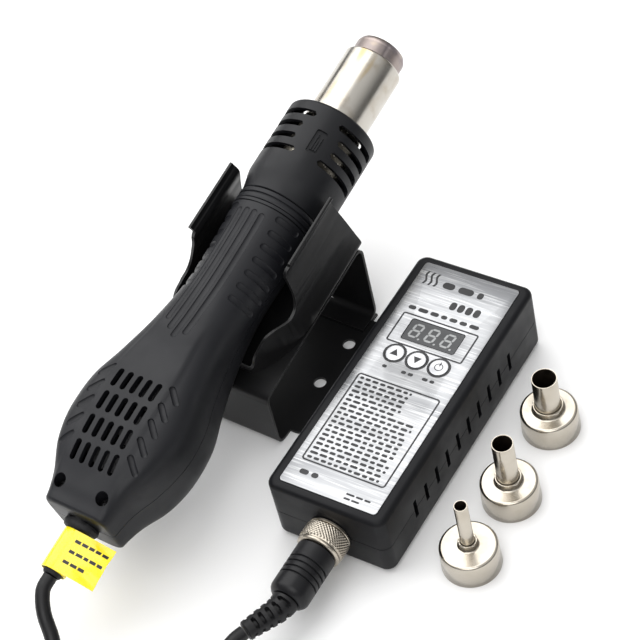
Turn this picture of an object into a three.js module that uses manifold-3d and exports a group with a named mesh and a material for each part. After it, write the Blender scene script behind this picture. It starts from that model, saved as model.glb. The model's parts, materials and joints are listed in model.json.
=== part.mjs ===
// A bench hot air station: a slim control unit, a blower handle lying in a bent-steel
// holder, the cable that joins them, and three loose nozzles. Millimetres, +Z up.
// X runs across the control unit, Y along it towards the mains inlet end.

import * as THREE from 'three';
import { mergeVertices } from 'three/addons/utils/BufferGeometryUtils.js';
import Module from 'manifold-3d';

const wasm = await Module();
wasm.setup();

// ---------------------------------------------------------------- driving dimensions

const GAP = 0.3;                        // clearance between touching solids
const BIG = 400;                        // reach of cutting blocks

// Where the groups stand, measured from the middle of the whole object's footprint.
const UNIT_X = 24.2;
const UNIT_Y = 5;
const HOLDER_X = -52.3;
const HOLDER_Y = 15;
const HOLDER_TURN = THREE.MathUtils.degToRad(-2.5);

// Control unit case.
const CASE_W = 54;
const CASE_L = 131.6;
const CASE_TOP = 33.6;
const CASE_BOTTOM = 1.2;
const CASE_SPLIT = 16.2;
const CASE_WALL = 2;
const CASE_CORNER = 4.5;
const CASE_EDGE = 2.4;
const FOOT_R = 4.5;
const VENT_COUNT = 10;
const VENT_PITCH = 9;
const VENT_W = 2.2;
const VENT_H = 10;

// Front label with its display and three push buttons.
const LABEL_W = 44.4;
const LABEL_L = 123.6;
const LABEL_T = 0.6;
const DISPLAY_W = 24.8;
const DISPLAY_L = 11.2;
const DISPLAY_Y = 26.4;
const BUTTON_R = 4.1;
const BUTTON_PITCH = 10.3;
const BUTTON_Y = 12.6;

// Cable connector on the near end of the case.
const PLUG_X = 1;
const PLUG_Z = 16;
const THREAD_R = 8;
const NUT_R = 9.8;
const NUT_L = 9;
const NUT_TEETH = 20;
const NUT_START = -CASE_L / 2 - 1.9;
const PLUG_START = NUT_START - NUT_L - GAP;
const PLUG_R = 8.4;
const PLUG_L = 24;
const PLUG_RELIEF_L = 20;
const RELIEF_BEND_L = 6.4;              // the relief leans over within this length
const RELIEF_BEND_R = 14.5;

// Handle: its long axis is local Y, with zero at the ring where the grip meets the guard.
const TILT = THREE.MathUtils.degToRad(11);
const AXIS_HEIGHT = 60.6;               // axis height above the bench at the holder's middle
const RING_ALONG = 28;                  // from the holder's middle to the ring, along the axis
const GRIP_END = -154;
const GRIP_WALL = 2;
const RING_R = 18.7;
const GUARD_R = 20.5;
const GUARD_END = 47;
const GUARD_WALL = 1.8;
const TUBE_R = 13.3;
const TUBE_END = 82;
const SPIGOT_R = 11.3;
const SPIGOT_END = 90.4;
const SHEET = 0.7;                      // wall of the pressed steel tubes
const GUARD_SLOT_W = 2.8;
const GUARD_ROWS = 4;
const GUARD_FIRST_ROW = 38.8;
const GUARD_ROW_PITCH = 6.15;
const GUARD_SPINE = THREE.MathUtils.degToRad(69);        // where the unslotted spine is
const GUARD_SPINE_WIDE = THREE.MathUtils.degToRad(15);   // slots start nearest the spine
const GUARD_SPINE_NARROW = THREE.MathUtils.degToRad(24);
const GUARD_SIDE = THREE.MathUtils.degToRad(86);
const VENT_SLOT_W = 2.6;
const VENT_SLOT_L = 8.6;
const VENT_ROW = 11;                    // spacing of the rows of intake slots
const VENT_MIDDLE = -116;
const GRIP_SCREW_X = [-10.5, 10.5];
const GRIP_SCREW_ALONG = -145.5;
const BLOWER_ALONG = -112;
const BLOWER_LOW = -9;
const BLOWER_HIGH = 7;
const BLADES = 11;
const BOARD_LOW = -7;
const BUSH_R = 6;
const BUSH_END = -178;
const TAG_W = 18;
const TAG_WRAP_R = 5.5;
const TAG_REACH = 19;
const TAG_DROOP = 15;                   // degrees below level

// Holder: a bent strip that carries a trough-shaped cradle.
const STRIP_T = 1.2;
const STRIP_HALF = 28.8;
const FOOT_HALF = 36;
const FRONT_Y = -36.5;
const BACK_Y = 42.2;
const BEND_R = 4.5;
const CRADLE_FRONT = -61;
const CRADLE_BACK = 9.6;
const CRADLE_FLOOR = -20.9;             // trough floor below the handle axis
const CRADLE_HALF = 30.8;
const CRADLE_T = 1.2;
const CRADLE_SCREWS = [-46, -20];
const LIP_HEIGHT = 13.4;
const MAGNET_ALONG = -33;

// Nozzles: cup that slips over the spigot, with a pressed-in outlet tube.
const CUP_BORE_R = 11.55;
const CUP_MOUTH_R = 12.25;
const CUP_TOP_R = 11.95;
const CUP_H = 12.2;
const NOZZLES = [
  { name: 'nozzle_large', x: 51.2, y: 25.5, tubeR: 5.3, height: 19.5 },
  { name: 'nozzle_medium', x: 52.8, y: -13.2, tubeR: 4.45, height: 24.3 },
  { name: 'nozzle_small', x: 52.4, y: -47.1, tubeR: 2.8, height: 25.9 },
];

// Cable.
const CABLE_R = 3;
const COIL_X = -12.3;
const COIL_Y = -200.1;
const COIL_MEAN_R = 33;
const COIL_HALF = 6.6;
const CABLE_FROM_HANDLE = [
  [-58.9, -138.4, 29.9], [-55.2, -145, 25.4], [-49, -150.8, 19.5], [-44.4, -157.5, 13.6],
  [-43, -164.5, 8.8], [-44.2, -170.2, 6], [-46.2, -175, 4.7],
];
const CABLE_TO_PLUG = [
  [23.8, -176.7, 9], [23.4, -169.4, 7.4], [22, -160.4, 5.6], [19.6, -150.4, 5.2],
  [16.8, -140.4, 7.6], [15.1, -132, 11.6], [14.7, -125.4, 14.4], [15.9, -119.6, 15.7],
  [17.7, -115.4, 16],
];

// ---------------------------------------------------------------- finishes

const FINISH = {
  black: { color: 0x2c2c30, roughness: 0.55, metalness: 0 },
  soft: { color: 0x232326, roughness: 0.75, metalness: 0 },
  satin: { color: 0x1d1d1f, roughness: 0.45, metalness: 0.4 },
  brushed: { color: 0xc9c9cb, roughness: 0.35, metalness: 0.9 },
  nickel: { color: 0xd6cfc3, roughness: 0.18, metalness: 1 },
  steel: { color: 0x9a9a9c, roughness: 0.35, metalness: 1 },
  smoke: { color: 0x3a3d42, roughness: 0.15, metalness: 0 },
  board: { color: 0x1f5c3a, roughness: 0.6, metalness: 0 },
  ceramic: { color: 0xe6dccb, roughness: 0.8, metalness: 0 },
  aluminium: { color: 0xb8babd, roughness: 0.4, metalness: 0.9 },
  yellow: { color: 0xf2d800, roughness: 0.3, metalness: 0 },
};

// ---------------------------------------------------------------- solid helpers

function toSolid(geometry) {
  const bare = geometry.clone();
  bare.deleteAttribute('normal');
  bare.deleteAttribute('uv');
  const merged = mergeVertices(bare, 1e-4);
  return new wasm.Manifold(new wasm.Mesh({
    numProp: 3,
    vertProperties: merged.attributes.position.array,
    triVerts: Uint32Array.from(merged.index.array),
  }));
}

function toGeometry(solid) {
  const mesh = solid.getMesh();
  const geometry = new THREE.BufferGeometry();
  geometry.setAttribute('position', new THREE.BufferAttribute(mesh.vertProperties, 3));
  geometry.setIndex(new THREE.BufferAttribute(mesh.triVerts, 1));
  return geometry;
}

function join(...solids) {
  return solids.reduce((whole, next) => whole.add(next));
}

// A block between two opposite corners.
function block([x0, y0, z0], [x1, y1, z1]) {
  const box = new THREE.BoxGeometry(x1 - x0, y1 - y0, z1 - z0);
  return toSolid(box.translate((x0 + x1) / 2, (y0 + y1) / 2, (z0 + z1) / 2));
}

// A shape turned about local Y; points are [radius, along] pairs.
function turned(points, segments = 28) {
  const profile = points.map(([radius, along]) => new THREE.Vector2(radius, along));
  const first = profile[0];
  const last = profile[profile.length - 1];
  if (first.x > 0 || last.x > 0) profile.push(first.clone());
  return toSolid(outward(new THREE.LatheGeometry(profile, segments)));
}

// A turned shape that stands upright, turned about Z.
function upright(points, segments = 28) {
  const profile = points.map(([radius, height]) => new THREE.Vector2(radius, height));
  const first = profile[0];
  const last = profile[profile.length - 1];
  if (first.x > 0 || last.x > 0) profile.push(first.clone());
  return toSolid(outward(new THREE.LatheGeometry(profile, segments).rotateX(Math.PI / 2)));
}

// Flips a closed geometry whose faces point inwards.
function outward(geometry) {
  const points = geometry.attributes.position;
  const index = geometry.index;
  const a = new THREE.Vector3();
  const b = new THREE.Vector3();
  const c = new THREE.Vector3();
  let volume = 0;
  for (let i = 0; i < index.count; i += 3) {
    a.fromBufferAttribute(points, index.getX(i));
    b.fromBufferAttribute(points, index.getX(i + 1));
    c.fromBufferAttribute(points, index.getX(i + 2));
    volume += a.dot(b.cross(c));
  }
  if (volume < 0) index.array.reverse();
  return geometry;
}

// The same for a geometry without an index, such as an extrusion along a path.
function outwardFlat(geometry) {
  const bare = geometry.clone();
  bare.deleteAttribute('normal');
  bare.deleteAttribute('uv');
  return outward(mergeVertices(bare, 1e-4));
}

function rodY(radius, from, to, segments = 16) {
  return turned([[0, from], [radius, from], [radius, to], [0, to]], segments);
}

function rodZ(radius, from, to, segments = 16) {
  return upright([[0, from], [radius, from], [radius, to], [0, to]], segments);
}

function roundedRect(width, length, radius) {
  const x = width / 2 - radius;
  const y = length / 2 - radius;
  const quarter = Math.PI / 2;
  const shape = new THREE.Shape();
  shape.absarc(x, y, radius, 0, quarter);
  shape.absarc(-x, y, radius, quarter, 2 * quarter);
  shape.absarc(-x, -y, radius, 2 * quarter, 3 * quarter);
  shape.absarc(x, -y, radius, 3 * quarter, 4 * quarter);
  shape.closePath();
  return shape;
}

// An upright prism of a shape, with its top and bottom edges rounded by `edge`.
function prism(shape, bottom, top, edge = 0, curveSegments = 3) {
  const geometry = new THREE.ExtrudeGeometry(shape, {
    depth: top - bottom - 2 * edge,
    bevelEnabled: edge > 0,
    bevelThickness: edge,
    bevelSize: edge,
    bevelOffset: -edge,
    bevelSegments: 1,
    curveSegments,
  });
  return toSolid(geometry.translate(0, 0, bottom + edge));
}

// A prism that runs along X, from a closed outline of [y, z] points.
function prismX(outline, from, to) {
  const shape = new THREE.Shape(outline.map(([y, z]) => new THREE.Vector2(y, z)));
  const geometry = new THREE.ExtrudeGeometry(shape, { depth: to - from, bevelEnabled: false });
  geometry.rotateZ(Math.PI / 2).rotateY(Math.PI / 2);
  return toSolid(geometry.translate(from, 0, 0));
}

const station = new THREE.Group();
const unit = new THREE.Group();
const holder = new THREE.Group();
const handle = new THREE.Group();
station.add(unit, holder);
holder.add(handle);
unit.position.set(UNIT_X, UNIT_Y, 0);
holder.position.set(HOLDER_X, HOLDER_Y, 0);
holder.rotation.z = HOLDER_TURN;
handle.position.set(0, RING_ALONG * Math.cos(TILT), AXIS_HEIGHT + RING_ALONG * Math.sin(TILT));
handle.rotation.x = TILT;

function place(group, name, solid, finish, position = [0, 0, 0]) {
  const mesh = new THREE.Mesh(toGeometry(solid), new THREE.MeshStandardMaterial(FINISH[finish]));
  mesh.name = name;
  mesh.position.set(...position);
  group.add(mesh);
}

// ---------------------------------------------------------------- control unit

const buttonX = [-1, 0, 1].map((step) => step * BUTTON_PITCH - 0.1);
const buttonNames = ['button_up', 'button_down', 'button_setup'];
const screwSpots = [[-20, -57], [20, -57], [-20, 57], [20, 57]];

function caseShell() {
  const outer = prism(roundedRect(CASE_W, CASE_L, CASE_CORNER), CASE_BOTTOM, CASE_TOP, CASE_EDGE);
  const inner = prism(
    roundedRect(CASE_W - 2 * CASE_WALL, CASE_L - 2 * CASE_WALL, CASE_CORNER - CASE_WALL),
    CASE_BOTTOM + CASE_WALL,
    CASE_TOP - CASE_WALL - LABEL_T,
  );
  const socketHole = rodY(THREAD_R + GAP, -CASE_L, -CASE_L / 2 + 10).translate([PLUG_X, 0, PLUG_Z]);
  const glandHole = rodY(5.5, CASE_L / 2 - 10, CASE_L).translate([0, 0, CASE_SPLIT]);
  let shell = outer.subtract(inner).subtract(socketHole).subtract(glandHole);
  for (let i = 0; i < VENT_COUNT; i += 1) {
    const y = (i - (VENT_COUNT - 1) / 2) * VENT_PITCH - 2;
    const low = CASE_SPLIT - VENT_H / 2;
    const slot = block([20, y - VENT_W / 2, low], [CASE_W, y + VENT_W / 2, low + VENT_H]);
    shell = shell.subtract(slot);
  }
  return shell;
}

function caseHalf(upper) {
  const reach = upper ? [CASE_SPLIT + GAP / 2, BIG] : [-BIG, CASE_SPLIT - GAP / 2];
  const slab = block([-BIG, -BIG, reach[0]], [BIG, BIG, reach[1]]);
  return caseShell().intersect(slab);
}

function upperCase() {
  let shell = caseHalf(true);
  const recess = roundedRect(LABEL_W + 2 * GAP, LABEL_L + 2 * GAP, 1.8);
  shell = shell.subtract(prism(recess, CASE_TOP - LABEL_T, CASE_TOP + 5));
  const window = block(
    [-DISPLAY_W / 2 - GAP, DISPLAY_Y - DISPLAY_L / 2 - GAP, CASE_SPLIT],
    [DISPLAY_W / 2 + GAP, DISPLAY_Y + DISPLAY_L / 2 + GAP, BIG],
  );
  shell = shell.subtract(window);
  for (const x of buttonX) {
    shell = shell.subtract(rodZ(BUTTON_R + GAP, CASE_SPLIT, BIG).translate([x, BUTTON_Y, 0]));
  }
  for (const [x, y] of screwSpots) {
    const boss = upright([[1.6, 18], [3.5, 18], [3.5, 31.5], [1.6, 31.5]], 8);
    shell = shell.add(boss.translate([x, y, 0]));
  }
  return shell;
}

function lowerCase() {
  let shell = caseHalf(false);
  for (const [x, y] of screwSpots) {
    const post = rodZ(3.5, CASE_BOTTOM + 0.5, 17.6, 8).translate([x, y, 0]);
    const through = rodZ(1.7, -5, 20, 8).translate([x, y, 0]);
    const headSeat = rodZ(3.1, -5, 5, 8).translate([x, y, 0]);
    shell = shell.add(post).subtract(through).subtract(headSeat);
  }
  return shell;
}

function frontLabel() {
  let plate = prism(roundedRect(LABEL_W, LABEL_L, 1.5), CASE_TOP - LABEL_T + GAP, CASE_TOP + 0.25);
  const window = roundedRect(DISPLAY_W + GAP, DISPLAY_L + GAP, 1);
  plate = plate.subtract(prism(window, 0, BIG).translate([0, DISPLAY_Y, 0]));
  for (const x of buttonX) {
    plate = plate.subtract(rodZ(BUTTON_R + GAP, 0, BIG).translate([x, BUTTON_Y, 0]));
  }
  return plate;
}

function displayWindow() {
  const pane = prism(roundedRect(DISPLAY_W - GAP, DISPLAY_L - GAP, 1), 30.6, CASE_TOP + 0.2);
  return pane.translate([0, DISPLAY_Y, 0]);
}

function ledDisplay() {
  return block([-12, DISPLAY_Y - 5, 25.3], [12, DISPLAY_Y + 5, 30.2]);
}

// A button cap: a disc with a retaining flange under the case top and a short stem.
function buttonCap() {
  return upright([
    [0, 28.5], [1.6, 28.5], [5, 29.4], [5, 30.3], [BUTTON_R, 30.3], [BUTTON_R, CASE_TOP + 0.4],
    [BUTTON_R - 0.4, CASE_TOP + 0.7], [0, CASE_TOP + 0.7],
  ], 16);
}

// The control board, with a switch body under each button and a header block.
function controlBoard() {
  let board = block([-23, 4, 23.4], [23, 34, 25]);
  for (const x of buttonX) {
    const body = block([x - 3, BUTTON_Y - 3, 24.8], [x + 3, BUTTON_Y + 3, 27]);
    const plunger = rodZ(1.6, 26.8, 27.8, 10).translate([x, BUTTON_Y, 0]);
    board = join(board, body, plunger);
  }
  return board.add(block([-10, 29, 20], [10, 33, 23.6]));
}

function powerBoard() {
  let board = block([-22, -50, 6], [22, 50, 7.6]);
  board = board.add(block([-20, 20, 7.4], [-4, 40, 18]));
  board = board.add(block([4, 26, 7.4], [18, 34, 14]));
  board = board.add(block([-18, -46, 7.4], [-2, -36, 17]));
  return board;
}

function heatsink() {
  let sink = block([2, -34, 8], [20, -8, 10]);
  for (let fin = 0; fin < 5; fin += 1) {
    const x = 2 + fin * 4;
    sink = sink.add(block([x, -34, 9], [x + 2, -8, 20]));
  }
  return sink;
}

function rubberFoot() {
  return rodZ(FOOT_R, 0, CASE_BOTTOM - GAP, 16);
}

function caseScrew() {
  return upright([[0, 2], [2.6, 2], [2.6, 4.6], [1.3, 4.8], [1.3, 26], [0, 27]], 8);
}

// The panel socket: threaded barrel and flange outside, contact block inside the wall.
function panelSocket() {
  const end = -CASE_L / 2;
  return turned([
    [0, end + 9], [7.2, end + 9], [7.2, end - GAP], [9.2, end - GAP], [9.2, end - 1.4],
    [THREAD_R, end - 1.4], [THREAD_R, end - 8.5], [6.9, end - 8.5], [6.9, end - 1.5], [0, end - 1.5],
  ], 20);
}

function socketNut() {
  const inside = -CASE_L / 2 + CASE_WALL + GAP;
  return turned([[8.8, inside], [11.5, inside], [11.5, inside + 2.5], [8.8, inside + 2.5]], 6);
}

function mainsGland() {
  const end = CASE_L / 2;
  return turned([
    [2.6, end - 7], [6.4, end - 7], [6.4, end - CASE_WALL - GAP], [5.1, end - CASE_WALL - GAP],
    [5.1, end + GAP], [6.8, end + GAP], [6.2, end + 4], [2.6, end + 4],
  ], 18);
}

// ---------------------------------------------------------------- cable connector

// Knurled coupling nut: a toothed ring bored for the socket's thread.
function couplingNut() {
  const outline = new THREE.Shape();
  for (let i = 0; i < 2 * NUT_TEETH; i += 1) {
    const angle = (i * Math.PI) / NUT_TEETH;
    const radius = i % 2 ? NUT_R - 0.45 : NUT_R;
    const point = [radius * Math.cos(angle), radius * Math.sin(angle)];
    if (i === 0) outline.moveTo(...point);
    else outline.lineTo(...point);
  }
  outline.closePath();
  const bore = new THREE.Path();
  bore.absarc(0, 0, THREAD_R + GAP, 0, 2 * Math.PI, true);
  outline.holes.push(bore);
  const sleeve = new THREE.ExtrudeGeometry(outline, { depth: NUT_L - 1, bevelEnabled: false });
  sleeve.rotateX(Math.PI / 2).translate(0, NUT_START, 0);
  const back = turned([
    [7.1, NUT_START - NUT_L + 1.2], [NUT_R - 0.5, NUT_START - NUT_L + 1.2],
    [NUT_R - 1, NUT_START - NUT_L], [7.1, NUT_START - NUT_L],
  ], 24);
  return toSolid(sleeve).add(back);
}

// The overmoulded plug body with its shallow rings, and the nose inside the nut.
function plugBody() {
  const end = PLUG_START - PLUG_L;
  const points = [[0, PLUG_START + 1.6], [6.6, PLUG_START + 1.6], [6.6, PLUG_START]];
  points.push([PLUG_R, PLUG_START]);
  for (let ring = 0; ring < 3; ring += 1) {
    const y = PLUG_START - 9 - ring * 3.2;
    points.push([PLUG_R, y], [PLUG_R - 0.7, y - 0.3], [PLUG_R, y - 0.9]);
  }
  points.push([PLUG_R, end + 2.5], [PLUG_R - 2.4, end], [0, end]);
  return turned(points, 20);
}

// Bends a lathe that runs along -Y from `start` so that its tail leans towards -X.
function leaning(geometry, start) {
  const points = geometry.attributes.position;
  for (let i = 0; i < points.count; i += 1) {
    const travel = Math.max(start - points.getY(i), 0);
    const turn = Math.min(travel, RELIEF_BEND_L) / RELIEF_BEND_R;
    const past = travel - Math.min(travel, RELIEF_BEND_L);
    const reach = RELIEF_BEND_R + points.getX(i);
    points.setX(i, reach * Math.cos(turn) - RELIEF_BEND_R - past * Math.sin(turn));
    points.setY(i, start - reach * Math.sin(turn) - past * Math.cos(turn));
  }
  return geometry;
}

// The ringed strain relief, tapered and swung the way the cable leaves.
function plugRelief() {
  const start = PLUG_START - PLUG_L - GAP;
  const end = start - PLUG_RELIEF_L;
  const pitch = 5;
  const profile = [new THREE.Vector2(0, start)];
  for (let y = start; y > end + 1; y -= pitch) {
    const radius = 5.7 - (start - y) * 0.07;
    profile.push(new THREE.Vector2(radius, y), new THREE.Vector2(radius, y - pitch + 1.4));
    profile.push(new THREE.Vector2(radius - 1, y - pitch + 1));
  }
  profile.push(new THREE.Vector2(4, end), new THREE.Vector2(0, end));
  const relief = outward(new THREE.LatheGeometry(profile, 14));
  return toSolid(leaning(relief, start));
}

// ---------------------------------------------------------------- cable

// A round tube along a smooth curve through the given points.
function cableRun(points) {
  const path = new THREE.CatmullRomCurve3(points.map((point) => new THREE.Vector3(...point)));
  const section = new THREE.Shape();
  const sides = 8;
  for (let i = 0; i < sides; i += 1) {
    const angle = (2 * Math.PI * i) / sides;
    const point = [CABLE_R * Math.cos(angle), CABLE_R * Math.sin(angle)];
    if (i === 0) section.moveTo(...point);
    else section.lineTo(...point);
  }
  section.closePath();
  return toSolid(outwardFlat(new THREE.ExtrudeGeometry(section, { steps: 16, extrudePath: path })));
}

function cableCoil() {
  const inner = COIL_MEAN_R - COIL_HALF;
  const outer = COIL_MEAN_R + COIL_HALF;
  const top = 2 * COIL_HALF;
  return upright([
    [inner + 2, GAP], [outer - 2, GAP], [outer, 2 + GAP], [outer, top - 2],
    [outer - 2, top], [inner + 2, top], [inner, top - 2], [inner, 2 + GAP],
  ], 24);
}

// ---------------------------------------------------------------- handle

// Grip outline from the tail to the guard: along the axis, half width, half height.
const gripOutline = new THREE.CatmullRomCurve3([
  [GRIP_END, 15.4, 13.4],
  [-148, 16.4, 14.6],
  [-141, 18.4, 16.6],
  [-130, 23.3, 19.9],
  [-116, 26.6, 21.8],
  [-101, 25.9, 22],
  [-86, 21.8, 20.4],
  [-68, 18.5, 18.6],
  [-44, 17, 17],
  [-20, 17.5, 17.3],
  [-4, 18.5, 18.5],
].map((row) => new THREE.Vector3(...row)));

// How square the section is: 2 is an ellipse, more is a rounded rectangle.
function squareness(along) {
  return 2.1 + 1.9 * (1 - THREE.MathUtils.smoothstep(along, -100, -40));
}

// A solid that follows the grip outline, drawn in by `inset`, between two shares of it.
function gripSolid(inset, from, to, segments, rows) {
  const geometry = new THREE.CylinderGeometry(1, 1, 1, segments, rows);
  const points = geometry.attributes.position;
  for (let i = 0; i < points.count; i += 1) {
    const share = from + (to - from) * (points.getY(i) + 0.5);
    const station = gripOutline.getPoint(share);
    const cosine = points.getX(i);
    const sine = points.getZ(i);
    const power = 2 / squareness(station.x);
    points.setX(i, (station.y - inset) * Math.sign(cosine) * Math.abs(cosine) ** power);
    points.setZ(i, (station.z - inset) * Math.sign(sine) * Math.abs(sine) ** power);
    points.setY(i, station.x);
  }
  return toSolid(geometry);
}

function gripShell() {
  const outer = gripSolid(0, 0, 1, 24, 12);
  const hollow = gripSolid(GRIP_WALL, 0.22, 0.995, 16, 7);
  const mouth = rodY(RING_R - 2.4, -9, 0, 20);
  const bushSeat = rodY(BUSH_R + 0.5, GRIP_END - 5, GRIP_END + 4, 14);
  const wireBore = rodY(2.6, GRIP_END, -130, 8);
  return outer.subtract(hollow).subtract(mouth).subtract(bushSeat).subtract(wireBore);
}

function gripHalf(upper) {
  const reach = upper ? [GAP / 2, BIG] : [-BIG, -GAP / 2];
  return gripShell().intersect(block([-BIG, -BIG, reach[0]], [BIG, BIG, reach[1]]));
}

// Upper shell: the intake vents over the blower and two counterbored screw holes.
function gripUpper() {
  let shell = gripHalf(true);
  const slot = block([-VENT_SLOT_W / 2, -VENT_SLOT_L / 2, 10], [VENT_SLOT_W / 2, VENT_SLOT_L / 2, 30]);
  for (let row = 0; row < 4; row += 1) {
    for (let column = -2; column <= 2; column += 1) {
      const along = VENT_MIDDLE + (row - 1.5) * VENT_ROW;
      shell = shell.subtract(slot.translate([column * 4.7, along, 0]));
    }
  }
  for (const x of GRIP_SCREW_X) {
    shell = shell.subtract(rodZ(1.7, -BIG, BIG, 10).translate([x, GRIP_SCREW_ALONG, 0]));
    shell = shell.subtract(rodZ(2.8, 9, BIG, 12).translate([x, GRIP_SCREW_ALONG, 0]));
  }
  return shell;
}

// Lower shell: ribs that carry the blower and the board, and two screw holes.
function gripLower() {
  let shell = gripHalf(false);
  for (const along of [BLOWER_ALONG - 9, BLOWER_ALONG + 9]) {
    shell = shell.add(block([-7, along - 1, -20.4], [7, along + 1, BLOWER_LOW - GAP]));
  }
  shell = shell.add(block([-3, -42, -16], [3, -40, BOARD_LOW - GAP]));
  for (const x of GRIP_SCREW_X) {
    shell = shell.subtract(rodZ(1.7, -10, 5, 10).translate([x, GRIP_SCREW_ALONG, 0]));
  }
  return shell;
}

function gripScrew() {
  return upright([[0, -9], [1.3, -8], [1.3, 9.3], [2.4, 9.3], [2.4, 10.6], [0, 11]], 10);
}

// The parting ring, with one shallow groove, between the grip and the heat guard.
function neckRing() {
  return turned([
    [15.6, -3.7], [RING_R - 0.4, -3.7], [RING_R, -1.6], [RING_R - 0.8, -1], [RING_R, -0.4],
    [RING_R, 1.4], [15.6, 1.4],
  ], 26);
}

// One vent of the guard: an arc of a ring, run along the axis.
function guardSlot(along, from, to) {
  const sector = new THREE.Shape();
  sector.absarc(0, 0, GUARD_R + 3, from, to);
  sector.absarc(0, 0, GUARD_R - 4, to, from, true);
  sector.closePath();
  const geometry = new THREE.ExtrudeGeometry(sector, {
    depth: GUARD_SLOT_W,
    bevelEnabled: false,
    curveSegments: 3,
  });
  return toSolid(geometry.rotateX(Math.PI / 2).translate(0, along + GUARD_SLOT_W, 0));
}

// The heat guard: a flared collar with four curved vents on each side of its spine.
function heaterGuard() {
  const wall = GUARD_WALL;
  let guard = turned([
    [15.6, 1.7], [18.6, 1.7], [19, 4.5], [GUARD_R, 11], [GUARD_R, GUARD_END - 1.6],
    [GUARD_R - 1.4, GUARD_END], [TUBE_R + 1, GUARD_END], [TUBE_R + 1, GUARD_END - wall],
    [GUARD_R - wall, GUARD_END - wall - 1], [GUARD_R - wall, 13], [15.6, 5],
  ], 24);
  for (let row = 0; row < GUARD_ROWS; row += 1) {
    const along = GUARD_FIRST_ROW - row * GUARD_ROW_PITCH;
    const edgeRow = row === 0 || row === GUARD_ROWS - 1;
    const near = edgeRow ? GUARD_SPINE_WIDE : GUARD_SPINE_NARROW;
    guard = guard.subtract(guardSlot(along, GUARD_SPINE + near, GUARD_SPINE + GUARD_SIDE));
    guard = guard.subtract(guardSlot(along, GUARD_SPINE - GUARD_SIDE, GUARD_SPINE - near));
  }
  return guard;
}

function heaterTube() {
  const r = TUBE_R;
  return turned([
    [r - SHEET, 15.5], [18.2, 15.5], [18.2, 16.7], [r, 16.7], [r, TUBE_END - 1.2],
    [r - 1.2, TUBE_END], [SPIGOT_R + 0.4, TUBE_END], [SPIGOT_R + 0.4, TUBE_END - SHEET],
    [r - SHEET, TUBE_END - 1.4],
  ], 24);
}

// The liner whose rolled end stands out of the heater tube; nozzles slip over it.
function nozzleSpigot() {
  const r = SPIGOT_R;
  const end = SPIGOT_END;
  return turned([
    [r - SHEET, 18], [r, 18], [r, end - 2.4], [r - 0.8, end - 0.6], [r - 2, end],
    [r - 2.7, end - 0.8], [r - SHEET, end - 2.6],
  ], 24);
}

function micaSleeve() {
  return turned([[9.7, 20], [10.2, 20], [10.2, 84], [9.7, 84]], 20);
}

// Four crossed blades that carry the heating coil.
function heaterCore() {
  const blade = block([-7, 22, -0.6], [7, 82, 0.6]);
  const disc = rodY(9.3, 21, 22.5, 16);
  return join(blade, blade.rotate([0, 60, 0]), blade.rotate([0, 120, 0]), disc);
}

function heatingCoil() {
  const turns = 5;
  const stepsPerTurn = 8;
  const points = [];
  for (let i = 0; i <= turns * stepsPerTurn; i += 1) {
    const angle = (2 * Math.PI * i) / stepsPerTurn;
    const along = 26 + (52 * i) / (turns * stepsPerTurn);
    points.push(new THREE.Vector3(8.4 * Math.cos(angle), along, 8.4 * Math.sin(angle)));
  }
  const wire = new THREE.Shape();
  wire.absarc(0, 0, 0.6, 0, 2 * Math.PI);
  const path = new THREE.CatmullRomCurve3(points);
  const options = { steps: turns * stepsPerTurn, extrudePath: path, curveSegments: 2 };
  return toSolid(outwardFlat(new THREE.ExtrudeGeometry(wire, options)));
}

// The radial blower: a drum open at its top, with an outlet spout towards the heater.
function blowerHousing() {
  const low = BLOWER_LOW;
  const high = BLOWER_HIGH;
  const drum = rodZ(20.5, low, high, 24).add(block([-9, 12, low], [9, 32, high]));
  const hollow = rodZ(19.3, low + 1.2, high - 1.2, 24);
  const outlet = block([-7.8, 10, low + 1.2], [7.8, 40, high - 1.2]);
  const eye = rodZ(13, 0, 30, 20);
  return drum.subtract(hollow).subtract(outlet).subtract(eye);
}

function blowerMotor() {
  const low = BLOWER_LOW + 1.2 + GAP;
  return upright([[0, low], [5, low], [5, 2.2], [0, 3.2]], 14);
}

// The impeller: a cup that covers the motor, a back plate and a ring of blades.
function impeller() {
  const low = BLOWER_LOW + 2;
  let wheel = upright([
    [5.6, low], [17, low], [17, low + 1], [6.8, low + 1.4], [6.8, 4.6], [0, 4.6], [0, 3.8],
    [5.6, 3.8],
  ], 18);
  const blade = block([10, -0.4, low + 0.5], [17.5, 0.4, 4.2]);
  for (let i = 0; i < BLADES; i += 1) {
    wheel = wheel.add(blade.rotate([0, 0, (360 * i) / BLADES]));
  }
  return wheel;
}

function gripBoard() {
  const board = block([-8, -60, BOARD_LOW], [8, -24, BOARD_LOW + 1.6]);
  const reed = rodY(1.4, -40, -26, 8).translate([0, 0, BOARD_LOW + 2.6]);
  return board.add(block([-5, -56, BOARD_LOW + 1.4], [5, -46, BOARD_LOW + 4])).add(reed);
}

// The tapered bush where the cable leaves the handle.
function cableBush() {
  return turned([
    [0, BUSH_END], [3.7, BUSH_END], [4.5, GRIP_END - 2], [4.5, GRIP_END - GAP],
    [BUSH_R, GRIP_END + GAP], [BUSH_R, GRIP_END + 3.6], [0, GRIP_END + 3.6],
  ], 16);
}

// A caution flag label: a wrap round the bush with a doubled flag standing off it.
function cautionTag() {
  const front = GRIP_END - 4.5;
  const back = front - TAG_W;
  const wrap = turned([[4.9, back], [TAG_WRAP_R, back], [TAG_WRAP_R, front], [4.9, front]], 16);
  const flag = block([0, back, TAG_WRAP_R - 0.6], [TAG_REACH, front, TAG_WRAP_R])
    .rotate([0, TAG_DROOP, 0]);
  return wrap.add(flag.subtract(rodY(5.1, back - 1, front + 1)));
}

// ---------------------------------------------------------------- holder

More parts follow.
